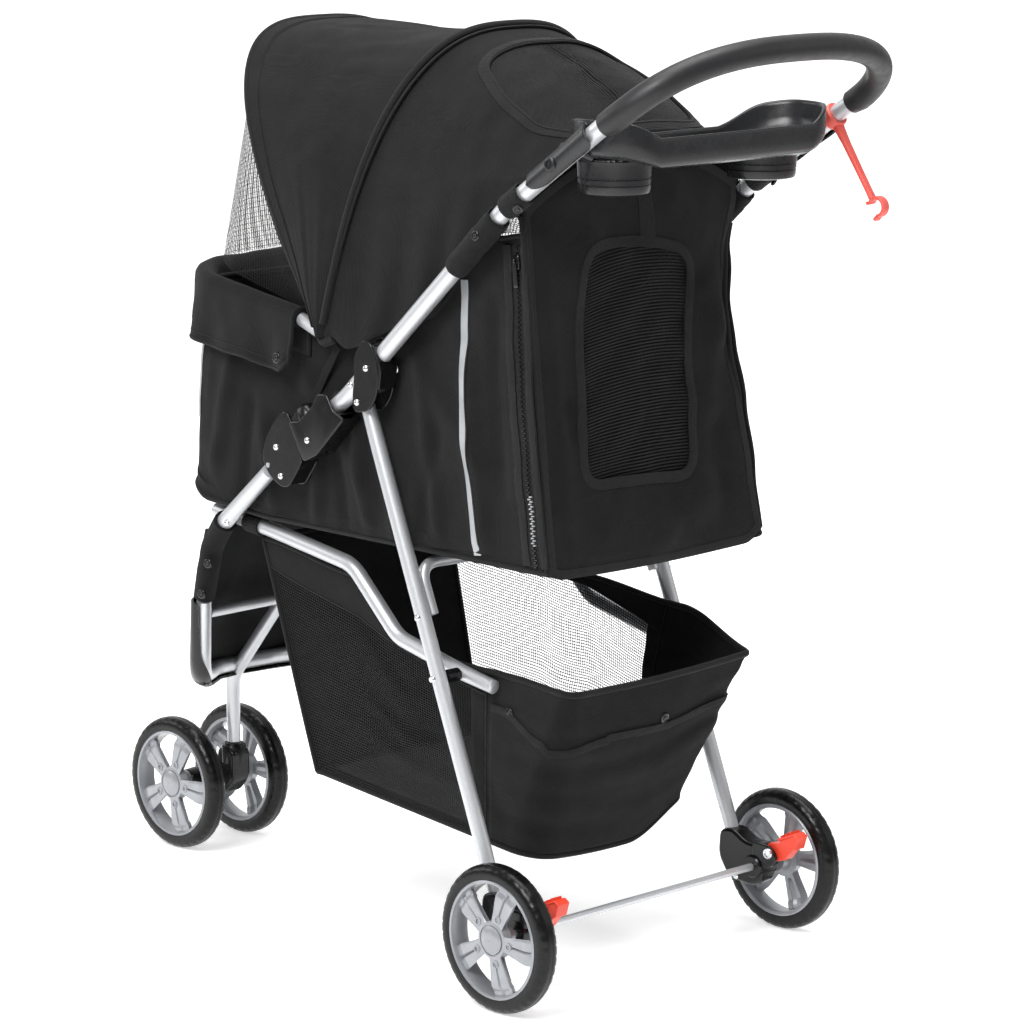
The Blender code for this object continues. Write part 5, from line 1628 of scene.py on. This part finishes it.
def hood():
    front = surface("hood_front_look", hood_front, 170, 64, FABRIC, None, 0.0018, 0.0)
    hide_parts("hood_front_panel")
    outside = HOOD_MIDDLE - Vector((0, DATUM_Y, 0))
    front_parts = [front]
    front_parts.append(on_panel("hood_hem", hood_front, dense([(0.002, 0.040), (0.998, 0.040)], 0.006),
                                ribbon_section(0.0200, 0.0022), FABRIC, None, outside, 0.0010))
    front_parts.append(sweep("hood_lip", [hood_front(k / 160, 0.0) for k in range(161)],
                             ring(0.0036, sides=12),
                             BINDING, None))
    front_parts.append(on_panel("hood_stitch", hood_front, dense([(0.004, 0.085), (0.996, 0.085)], 0.006),
                                ring(0.0007, sides=6), THREAD, None, outside, 0.0012))
    cord_line = [bow_point(MID_BOW, k / 160, 0.0092,
                           radians(0.1)) - Vector((0, DATUM_Y, 0)) for k in range(161)]
    sweep("hood_piping", cord_line, ring(0.0042, sides=14), BINDING, "hood_mid")
    seam_line = [bow_point(MID_BOW, k / 160, 0.0086,
                           radians(1.5)) - Vector((0, DATUM_Y, 0)) for k in range(161)]
    sweep("hood_piping_seam", seam_line, ring(0.0030, 0.0018, 10), BINDING, "hood_mid")

    window = rounded_outline([(0.376, 0.235), (0.624, 0.235), (0.680, 0.50), (0.700, 0.80), (0.640, 0.945),
                              (0.360, 0.945), (0.300, 0.80), (0.320, 0.50)], 0.10, 7)
    rear = window_panel("hood_rear_look", hood_rear, window, (0.5, 0.60), 300, 40, None, 0.0018)
    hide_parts("hood_rear_panel")
    loop = dense(window, 0.008, True)
    rear_parts = [rear]
    rear_parts.append(on_panel("hood_window_binding", hood_rear, loop, ribbon_section(0.0120, 0.0024),
                               BINDING, None,
                               outside, 0.0010, True))
    rear_parts.append(on_panel("hood_window_piping", hood_rear,
                               [(0.5 + (u - 0.5) * 0.955, 0.6 + (v - 0.6) * 0.965) for u, v in loop],
                               ring(0.0016, sides=8), BINDING, None, outside, 0.0014, True))

    def inside(u, v):
        count, hits = len(window), 0
        for i in range(count):
            (a, b), (c, d) = window[i], window[(i + 1) % count]
            if (b > v) != (d > v) and u < (c - a) * (v - b) / (d - b) + a:
                hits += 1
        return hits % 2 == 1

    def local(u, v):
        p = hood_rear(0.295 + 0.41 * u, 0.23 + 0.72 * v)
        return p + (outside - p).normalized() * 0.0012

    rear_parts.append(net("hood_window_net", local, 100, 90, 0.0015, 0.0006, None,
                          lambda u, v: inside(0.295 + 0.41 * u, 0.23 + 0.72 * v), 56))
    rear_parts.append(sweep("hood_rear_hem", [hood_rear(0.01 + 0.98 * k / 120, 0.985) for k in range(121)],
                            ring(0.0030, 0.0020, 10), BINDING, None))
    return front_parts, rear_parts


hood_front_parts, hood_rear_parts = hood()


def hood_mesh():
    """The netting in the hood's mouth, from the front bow down to the cabin's rim."""
    half_bar = bend([at(0.1500, -0.0450, 0.6560), at(0.1450, -0.1800, 0.6860), at(0.1200, -0.2300, 0.6960),
                     at(0, -0.2400, 0.6990)], 0.05, 14)
    bar = mirrored(half_bar)
    total = [0.0]
    for a, b in zip(bar, bar[1:]):
        total.append(total[-1] + (b - a).length)

    def on_bar(u):
        d = u * total[-1]
        k = max(0, min(len(total) - 2, next((i for i, t in enumerate(total) if t >= d),
                                            len(total) - 1) - 1))
        return bar[k].lerp(bar[k + 1], (d - total[k]) / (total[k + 1] - total[k]))

    def point(u, v):
        top = bow_point(FRONT_BOW, u, 0.0030, radians(-0.9), 0.008) - Vector((0, DATUM_Y, 0))
        p = top.lerp(on_bar(u), v)
        away = (p - (HOOD_MIDDLE + Vector((0, 0.05, 0)))).normalized()
        return p + away * (0.0010 * sin(pi * v) + 0.0018 * sin(pi * v) * sin(u * 40))

    return net("hood_mouth_net", point, 210, 40, 0.0011, 0.0005, "push_frame", None, 30)


mouth_net = hood_mesh()
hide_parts("front_mesh")


# ---- sleeves, straps and studs on the tubes ----------------------------------------------
def tube_sleeve(name, start, end, s0, s1, x, radius, body, material=None, wrinkle=0.0008):
    rows = 22
    y0, z0 = along(start, end, s0)
    run = (Vector(end) - Vector(start)).normalized()
    verts = []
    sides = 36
    for j in range(rows + 1):
        t = j / rows
        d = (s1 - s0) * t
        swell = 1.0 - 0.06 * smooth(1 - t / 0.08) - 0.06 * smooth(1 - (1 - t) / 0.08)
        for i in range(sides):
            a = 2 * pi * i / sides
            r = radius * swell + wrinkle * ripple((cos(a) * 0.01, sin(a) * 0.01, d), 160.0, s0 * 10)
            verts.append(at(x + r * cos(a), y0 + run.x * d - run.y * r * sin(a),
                            z0 + run.y * d + run.x * r * sin(a)))
    faces = [(j * sides + i, j * sides + (i + 1) % sides, (j + 1) * sides + (i + 1) % sides,
              (j + 1) * sides + i)
             for j in range(rows) for i in range(sides)]
    obj = piece(name, verts, faces, material or FABRIC, body)
    solid = obj.modifiers.new("cloth", "SOLIDIFY")
    solid.thickness = 0.0012
    solid.offset = -1.0
    return obj


for _label, _side in SIDES:
    _x = _side * TUBE_X
    tube_sleeve("tube_sleeve_" + _label, PUSH_KNEE, PUSH_BEND, 0.2140, 0.2960, _x, 0.0116, "push_frame")
    tube_sleeve("tube_strap_" + _label, PUSH_BEND, GRIP_END, 0.0040, 0.0330, _x, 0.0112, "push_frame",
                WEBBING, 0.0004)
    _y, _z = along(PUSH_KNEE, PUSH_BEND, 0.268)
    _w, _h = along(PUSH_BEND, GRIP_END, 0.0200)
    buttons("sleeve_studs_" + _label, [(at(_x + _side * 0.0112, _y, _z), (_side, 0, 0)),
                                       (at(_x + _side * 0.0070, _w + 0.0085, _h - 0.0075),
                                        (_side, 0.6, -0.6))], 0.0052,
            STUD, SNAP, "push_frame")
    tube_sleeve("rail_loop_" + _label, (-0.2170, 0.4270), (-0.1250, 0.4170), 0.0540, 0.0780, _side * RAIL_X,
                0.0094,
                "rails", WEBBING, 0.0003)
    leg_line = bend([(_side * TUBE_X, -0.1080, 0.4750), (_side * 0.1590, *FOLD_D),
                     (_side * 0.1530, -0.2080, 0.3900),
                     (_side * 0.1450, -0.2320, 0.3280)], 0.05)
    wrap = [at(*p) for p in leg_line if p.z < 0.424]
    sweep("leg_wrap_" + _label, wrap, ring(0.0122, 0.0128, 32), FABRIC, "front_frame",
          soft=0.004)
    buttons("leg_wrap_studs_" + _label, [(at(_side * 0.1665, -0.1990, 0.3740), (_side, 0.2, 0)),
                                         (at(_side * 0.1600, -0.2180, 0.3370), (_side, 0.2, 0))], 0.0052,
            STUD, SNAP,
            "front_frame")
    strap = [at(_side * 0.1620, 0.0060, 0.6290), at(_side * 0.1600, -0.0180, 0.5950),
             at(_side * 0.1600, -0.0420, 0.5560)]
    sweep("foot_strap_" + _label, bend(strap, 0.1, 8), ribbon_section(0.0100, 0.0016), FABRIC, "push_frame",
          up=(_side, 0, 0))
    foot = [at(_side * 0.1730, HOOD_PIVOT[0] - 0.010, HOOD_PIVOT[1] + 0.012),
            at(_side * 0.1745, HOOD_PIVOT[0] - 0.001, HOOD_PIVOT[1] - 0.001),
            at(_side * 0.1735, HOOD_PIVOT[0] + 0.016, HOOD_PIVOT[1] + 0.006)]
    sweep("hood_foot_" + _label, bend(foot, 0.02, 8), ring(0.0052, 0.0040, 20), BINDING, "push_frame",
          soft=0.003)


# ---- apron ---------------------------------------------------------------------------------
def apron_point(u, v):
    rows = [(0.4050, -0.2220, -0.2260, 0.1480), (0.3600, -0.2390, -0.2560, 0.1460),
            (0.3150, -0.2510, -0.2930, 0.1440),
            (0.2750, -0.2590, -0.3230, 0.1420), (0.2170, -0.2700, -0.3560, 0.1340)]
    place = (1 - v) * (len(rows) - 1)
    k = min(int(place), len(rows) - 2)
    z, side_y, mid_y, x = (a + (b - a) * (place - k) for a, b in zip(rows[k], rows[k + 1]))
    t = 1 - 2 * u
    z += 0.036 * (1 - v) ** 3 * t ** 8
    x *= 1 - 0.06 * (1 - v) ** 3 * t ** 8
    y = mid_y + (side_y - mid_y) * t * t
    inner = sin(pi * u) * sin(pi * v)
    y += inner * (0.0050 * ripple((x * t, y, z), 13.0, 6.0) + 0.0020 * sin(26 * u + 5 * v)) - 0.0015 * inner
    return at(x * t, y, z)


apron = surface("apron_look", apron_point, 90, 56, FABRIC, "front_frame", 0.0016, 0.0)
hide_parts("front_apron")
for _u in (0.0, 1.0):
    sweep("apron_edge_%d" % _u, [apron_point(_u, k / 40) for k in range(41)], ring(0.0024, sides=10),
          BINDING,
          "front_frame")


# ---- basket ---------------------------------------------------------------------------------
RIM_NEAR = [(-0.148, 0.404), (0.000, 0.385), (0.080, 0.325), (0.170, 0.3165), (0.320, 0.3130)]
RIM_FAR = [(-0.148, 0.404), (0.000, 0.386), (0.074, 0.3580), (0.210, 0.3460), (0.318, 0.3160)]
NET_NEAR = [(-0.150, 0.3780), (-0.116, 0.3680), (0.020, 0.3370), (0.0895, 0.3130), (0.1775, 0.2940),
            (0.200, 0.2900)]
NET_FAR = [(-0.150, 0.3780), (-0.116, 0.3700), (0.0763, 0.3480), (0.1970, 0.3130)]
FAR_SIDE = [(0.0, 0.0990), (0.25, 0.1020), (0.60, 0.1110), (0.80, 0.1190), (0.92, 0.1280), (1.0, 0.1320)]
BASKET_PARTS = []


def basket_x(side, v, y):
    near = 0.1190 + 0.0125 * v
    if side == RIGHT:
        near += (between(v, FAR_SIDE, True) - near) * smooth((y - 0.100) / 0.14)
    return near


def basket_low(x, y):
    base = between(y, [(-0.070, 0.160), (0.240, 0.131)])
    base += 0.0300 * smooth((y - 0.130) / 0.11) * smooth((-x - 0.015) / 0.095)
    return base - 0.0080 * smooth((y - 0.080) / 0.16) * (1 - min(1.0, (x / 0.12) ** 2))


def basket_corner(side, v):
    return 0.034 - 0.016 * v if side == LEFT else 0.015 - 0.008 * v


def basket_seam(v):
    return 0.178 + 0.014 * v


def basket_side(side):
    """The netted side panel, from the front edge to the seam of the solid rear wrap."""
    def point(u, v):
        front = -0.080 - 0.068 * v
        y = front + (basket_seam(v) - front) * u
        x = side * basket_x(side, v, y)
        low, high = basket_low(x, y), between(y, RIM_NEAR if side == LEFT else RIM_FAR, True)
        inner = sin(pi * u) * sin(pi * v)
        x += side * inner * (0.0040 + 0.0050 * ripple((x, y, v), 9.0, side))
        return at(x, y, low + (high - low) * v)
    return point


def basket_wrap(s, v):
    """The solid cloth round the rear: from the left seam, round both soft corners, to the right seam."""
    rear = 0.246 + 0.064 * v
    near, far = basket_corner(LEFT, v), basket_corner(RIGHT, v)
    left, right = 0.1190 + 0.0125 * v, basket_x(RIGHT, v, rear)
    stops = [rear - near - basket_seam(v), near * pi / 2, left + right - near - far, far * pi / 2,
             rear - far - basket_seam(v)]
    d, part = s * sum(stops), 0
    while part < 4 and d > stops[part]:
        d -= stops[part]
        part += 1
    if part == 0:
        x, y, out = left, basket_seam(v) + d, Vector((1, 0))
    elif part == 1:
        a = d / near
        x, y, out = left - near + near * cos(a), rear - near + near * sin(a), Vector((cos(a), sin(a)))
    elif part == 2:
        x, y, out = left - near - d, rear, Vector((0, 1))
    elif part == 3:
        a = pi / 2 + d / far
        x, y, out = -right + far + far * cos(a), rear - far + far * sin(a), Vector((cos(a), sin(a)))
    else:
        y = rear - far - d
        x, out = -basket_x(RIGHT, v, y), Vector((-1, 0))
        x += (-right - x) * smooth((y - rear + far + 0.03) / 0.03)
    share = min(1.0, max(0.0, (x + 0.125) / 0.25))
    high = between(y, RIM_FAR, True) + (between(y, RIM_NEAR, True) - between(y, RIM_FAR, True)) * share
    high -= 0.0080 * sin(pi * min(1.0, max(0.0, (s - 0.10) / 0.80)))
    low = basket_low(x, y)
    inner = sin(pi * min(1.0, s * 1.02)) ** 0.5 * sin(pi * v) if 0 < s < 0.98 else 0.0
    sag = inner * (0.0050 + 0.0060 * ripple((x, y, v), 8.0, 4.0) + 0.0012 * sin(15 * s + 5 * v))
    sag -= 0.0040 * sin(pi * s) * smooth((v - 0.6) / 0.4)
    return at(x + out.x * sag, y + out.y * sag, low + (high - low) * v)


def wrap_share(x, y):
    """Where the wrap passes nearest to a plan position of the drawing."""
    spot = at(x, y, 0)
    return min((k / 400 for k in range(401)), key=lambda s: (basket_wrap(s, 0.65).xy - spot.xy).length)


def trim(name, point, line, radius):
    BASKET_PARTS.append(sweep(name, [point(*uv) for uv in line], ring(radius, sides=10), BINDING, "rails"))


def basket():
    for label, side in SIDES:
        point = basket_side(side)
        table = NET_NEAR if side == LEFT else NET_FAR

        def top(u, point=point, table=table):
            low, high = point(u, 0.0), point(u, 1.0)
            y = low.y + DATUM_Y + (high.y - low.y) * 0.9
            return min(0.985, max(0.5, (between(y, table) - low.z) / (high.z - low.z)))

        def lower(u, v, point=point, top=top):
            return point(u, v * top(u))

        def strip(u, v, point=point, top=top):
            return point(u, top(u) + (1 - top(u)) * v)

        BASKET_PARTS.append(net("basket_net_" + label, lower, 92, 66, 0.0009, 0.0009, "rails", None, 30))
        band = surface("basket_band_" + label, strip, 80, 8, FABRIC, "rails", 0.0018, 0.0)
        BASKET_PARTS.append(band)
        hem = surface("basket_hem_" + label, lambda u, v, point=point: point(0.930 + 0.070 * u, v) * 1.0, 4,
                      40, FABRIC,
                      "rails", 0.0012, 0.0)
        BASKET_PARTS.append(hem)
        trim("basket_seam_" + label, point, [(1.0, k / 30) for k in range(31)], 0.0024)
        trim("basket_front_" + label, point, [(0.0, k / 30) for k in range(31)], 0.0032)
        trim("basket_foot_" + label, point, [(k / 50, 0.0) for k in range(51)], 0.0030)
        trim("basket_rim_" + label, point, [(k / 70, 1.0) for k in range(71)], 0.0030)
        trim("basket_top_" + label, point, [(k / 60, top(k / 60)) for k in range(61)], 0.0018)

    wrap = surface("basket_wrap_look", basket_wrap, 150, 54, FABRIC, "rails", 0.0018, 0.0)
    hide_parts("basket")
    BASKET_PARTS.append(wrap)
    trim("basket_wrap_rim", basket_wrap, [(k / 120, 1.0) for k in range(121)], 0.0034)
    trim("basket_wrap_foot", basket_wrap, [(k / 120, 0.0) for k in range(121)], 0.0034)

    def front(u, v):
        y = -0.080 - 0.068 * v
        x = basket_x(LEFT, v, y) * (1 - 2 * u)
        inner = sin(pi * u) * sin(pi * v)
        low = basket_low(0.12, y)
        bulge = inner * (0.0080 + 0.0060 * ripple((x, y, v), 8.0, 3.0))
        return at(x, y - bulge, low + (0.404 - low) * v)

    panel = surface("basket_front_look", front, 70, 50, FABRIC, "rails", 0.0018, 0.0)
    BASKET_PARTS.append(panel)
    trim("basket_front_rim", front, [(k / 60, 1.0) for k in range(61)], 0.0032)
    trim("basket_front_foot", front, [(k / 60, 0.0) for k in range(61)], 0.0032)

    low_side, corner, mid, end = (wrap_share(*p) for p in ((0.130, 0.208), (0.118, 0.272), (0.064, 0.285),
                                                           (-0.107, 0.274)))
    knots = [(0.02, 0.800), (low_side, 0.800), (corner * 0.9, 0.680), (corner, 0.640), (mid * 0.97, 0.690),
             (mid, 0.705), (end * 0.8, 0.690), (end, 0.670), (0.98, 0.700)]
    line = []
    for a, b in zip(knots, knots[1:]):
        line += [(a[0] + (b[0] - a[0]) * k / 12, a[1] + (b[1] - a[1]) * smooth(k / 12)) for k in range(12)]
    line.append(knots[-1])
    inside = at(0, 0.10, 0.22)
    BASKET_PARTS.append(on_panel("basket_pocket_hem", basket_wrap, line, ribbon_section(0.0085, 0.0026),
                                 BINDING,
                                 "rails", inside, 0.0022))

    def pouch(u, v):
        s = line[0][0] + (line[-1][0] - line[0][0]) * u
        top = between(s, line)
        place = 0.02 + (top - 0.02) * v
        out = normal_at(basket_wrap, s, place)
        here = basket_wrap(s, place)
        if out.dot(here - inside) < 0:
            out = -out
        return here + out * (0.0014 + 0.0012 * v * v)

    flap = surface("basket_pocket", pouch, 130, 34, FABRIC, "rails", 0.0012, 0.0)
    BASKET_PARTS.append(flap)
    places = []
    for s, v in ((wrap_share(0.131, 0.220), 0.80), (wrap_share(-0.013, 0.285), 0.745)):
        out = normal_at(basket_wrap, s, v)
        here = basket_wrap(s, v)
        out = -out if out.dot(here - inside) < 0 else out
        places.append((here + out * 0.0012, out))
    BASKET_PARTS.append(buttons("basket_studs", places, 0.0058, STUD, SNAP, "rails"))

    def floor_point(u, v):
        y = -0.080 + 0.324 * v
        inset = []
        for side in (LEFT, RIGHT):
            r = basket_corner(side, 0.0)
            inset.append(r - (r ** 2 - min(r, max(0.0, y - 0.246 + r)) ** 2) ** 0.5)
        left, right = basket_x(LEFT, 0.0, y) - inset[0] * 0.9, basket_x(RIGHT, 0.0, y) - inset[1] * 0.9
        x = left - (right + left) * u
        return at(x, y, basket_low(x, y) - 0.0006 - 0.0050 * sin(pi * u) * sin(pi * v))

    def board_point(u, v):
        p = floor_point(0.06 + 0.88 * u, 0.04 + 0.86 * v)
        return p + Vector((0, 0, 0.0046))

    board = surface("basket_board_look", board_point, 30, 36, BOARD, "rails", 0.0036, 0.0)
    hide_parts("basket_board")
    BASKET_PARTS.append(board)
    floor_cloth = surface("basket_floor_look", floor_point, 50, 60, FABRIC, "rails", 0.0016, 0.0)
    BASKET_PARTS.append(floor_cloth)


basket()


# ---- floor pad -------------------------------------------------------------------------------
def floor_pad():
    low = CABIN_FLOOR_Z + 0.0073
    edit = bmesh.new()
    bmesh.ops.create_cube(edit, size=1.0)
    bmesh.ops.scale(edit, vec=(0.268, 0.392, 0.0120), verts=edit.verts)
    bmesh.ops.translate(edit, vec=at(0, 0.0850, low + 0.0066), verts=edit.verts)
    bmesh.ops.subdivide_edges(edit, edges=edit.edges, cuts=3, use_grid_fill=True)
    mesh = bpy.data.meshes.new("floor_pad_look")
    edit.to_mesh(mesh)
    edit.free()
    mesh.materials.append(PAD)
    pad = bpy.data.objects.new("floor_pad_look", mesh)
    scene.collection.objects.link(pad)
    before = puffed(pad, 0.006, 4.0, 0.004)
    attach(before, "push_frame")
    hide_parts("floor_pad")
    for x in (-0.068, 0.0, 0.068):
        path = [at(x, -0.100 + 0.370 * k / 40, low + 0.0136) for k in range(41)]
        sweep("pad_seam_%d" % (x * 1000), path, ring(0.0009, sides=6), THREAD, "push_frame")


def puffed(obj, voxel, pressure, limit):
    remesh = obj.modifiers.new("grid", "REMESH")
    remesh.mode = "VOXEL"
    remesh.voxel_size = voxel
    settle(obj)
    rest = [v.co.copy() for v in obj.data.vertices]
    cloth = obj.modifiers.new("cloth", "CLOTH")
    cloth.settings.use_pressure = True
    cloth.settings.uniform_pressure_force = pressure
    cloth.settings.effector_weights.gravity = 0.0
    cloth.settings.tension_stiffness = 15
    cloth.settings.compression_stiffness = 15
    cloth.settings.bending_stiffness = 0.5
    cloth.settings.quality = 6
    cloth.point_cache.frame_start = 1
    cloth.point_cache.frame_end = 20
    for number in range(1, 21):
        scene.frame_set(number)
    settle(obj)
    scene.frame_set(1)
    for vertex, home in zip(obj.data.vertices, rest):
        move = vertex.co - home
        if move.length > limit:
            vertex.co = home + move.normalized() * limit
    subdivide = obj.modifiers.new("fine", "SUBSURF")
    subdivide.levels = 1
    settle(obj)
    obj.data.shade_smooth()
    return obj


def settle(obj):
    """Applies every modifier of the piece."""
    bpy.context.view_layer.update()
    mesh = bpy.data.meshes.new_from_object(obj.evaluated_get(bpy.context.evaluated_depsgraph_get()))
    obj.modifiers.clear()
    obj.data = mesh


floor_pad()


# ---- hood transforms baked, soft pieces given meshes of their own -------------------------------
for _part in hood_front_parts:
    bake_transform(_part)
for _part in hood_rear_parts:
    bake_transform(_part)
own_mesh(mouth_net)
# The name starts also match the hidden CAD node cabin_tub, which rear_door stands for.
for _part in [o for o in scene.objects if o.type == "MESH" and o.get("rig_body") == "push_frame"
              and o.name.split("_")[0] in ("cabin", "rear", "window", "door", "zip", "reflective")]:
    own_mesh(_part)
for _part in BASKET_PARTS:
    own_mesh(_part)


# ---- carried-over nodes ------------------------------------------------------------
CARRIED = {"steel": STEEL, "satin_tube": TUBE, "black_plastic": BLACK, "board": BOARD, "fabric": FABRIC}
for _name, _slot in (("leg_pin_left", "steel"), ("leg_pin_right", "steel"), ("fold_pin_left", "steel"),
                     ("fold_pin_right", "steel"), ("rail_pin_left", "steel"), ("rail_pin_right", "steel"),
                     ("rail_spacer_left", "black_plastic"), ("rail_spacer_right", "black_plastic"),
                     ("base_board", "board"), ("front_bow", "black_plastic"),
                     ("mid_bow", "black_plastic")):
    nodes[_name].data.materials.clear()
    nodes[_name].data.materials.append(CARRIED[_slot])


# ---- floor, light, camera -------------------------------------------------------------
def studio():
    paper = Graph("floor", (0.92, 0.92, 0.92), 0.80, Specular_IOR_Level=0.15)
    # Painted glow: the floor emits light of its own, strongest in a band along the camera's line of sight
    # through the stroller and rising beyond it.
    paper.shader.inputs["Emission Color"].default_value = (1.0, 1.0, 1.0, 1.0)
    reach = []
    for direction in ((0.70, -0.68, 0.0), (-0.68, -0.70, 0.0)):
        dot = paper.add("ShaderNodeVectorMath", operation="DOT_PRODUCT")
        dot.inputs[1].default_value = direction
        paper.wire(paper.place, dot.inputs[0])
        reach.append(dot.outputs["Value"])
    across = paper.math("ABSOLUTE", reach[0], 0.0)
    beyond = paper.math("MULTIPLY", paper.math("MAXIMUM", reach[1], 0.0), 0.16)
    painted_glow_band = paper.spread(paper.math("SUBTRACT", across, beyond), 0.55, 2.6, 1.0, 0.16)
    painted_glow_depth = paper.spread(reach[1], 0.3, 2.5, 0.50, 0.95)
    paper.wire(paper.math("MULTIPLY", painted_glow_band, painted_glow_depth), paper.shader.inputs["Emission Strength"])
    # Painted shade: outside that band the floor's colour darkens from 0.92 to 0.60 as its glow fades.
    paper.tint(painted_glow_band, 0.0, 1.0, (0.60, 0.60, 0.60), (0.92, 0.92, 0.92))
    paper.relief(paper.noise(30.0, 3.0), 0.0002, 0.1)
    mesh = bpy.data.meshes.new("floor")
    mesh.from_pydata([(-40, -40, 0), (40, -40, 0), (40, 40, 0), (-40, 40, 0)], [], [(0, 1, 2, 3)])
    mesh.materials.append(paper.material)
    floor = bpy.data.objects.new("floor", mesh)
    scene.collection.objects.link(floor)
    world = bpy.data.worlds.new("studio")
    world.use_nodes = True
    tree = world.node_tree
    backdrop = tree.nodes["Background"]
    backdrop.inputs["Color"].default_value = (1.0, 1.0, 1.0, 1.0)
    place = tree.nodes.new("ShaderNodeTexCoord").outputs["Generated"]
    facing = tree.nodes.new("ShaderNodeVectorMath")
    facing.operation = "DOT_PRODUCT"
    facing.inputs[1].default_value = (-0.68, -0.70, 0.10)
    tree.links.new(place, facing.inputs[0])
    spread = tree.nodes.new("ShaderNodeMapRange")
    for value, socket in zip((0.35, 0.93, 0.30, 1.0), spread.inputs[1:5]):
        socket.default_value = value
    tree.links.new(facing.outputs["Value"], spread.inputs["Value"])
    tree.links.new(spread.outputs["Result"], backdrop.inputs["Strength"])
    scene.world = world
    for name, place, aim, size, power in (("key", (2.4, 0.8, 2.6), (0, 0, 0.5), 1.4, 90.0),
                                          ("fill", (-1.8, 2.4, 1.8), (0, 0, 0.5), 1.8, 8.0),
                                          ("front", (1.6, -2.4, 1.6), (0, 0, 0.5), 1.4, 16.0),
                                          ("top", (0.0, 0.2, 3.0), (0, 0, 0.5), 2.0, 66.0)):
        light = bpy.data.lights.new(name, "AREA")
        light.shape = "SQUARE"
        light.size = size
        light.energy = power
        lamp = bpy.data.objects.new(name, light)
        scene.collection.objects.link(lamp)
        lamp.location = place
        lamp.rotation_euler = (Vector(aim) - Vector(place)).to_track_quat("-Z", "Y").to_euler()


studio()
camera_data = bpy.data.cameras.new("camera")
camera_data.sensor_width = 36.0
camera_data.lens = 140.8
camera = bpy.data.objects.new("camera", camera_data)
scene.collection.objects.link(camera)
camera.location = (2.84103, 3.00449, 1.22788)
camera.rotation_euler = Vector((-0.68483, -0.70399, -0.18815)).to_track_quat("-Z", "Y").to_euler()
scene.camera = camera
scene.view_settings.view_transform = "Standard"

# ---- last update of the scene -------------------------------------------------------------
bpy.context.view_layer.update()
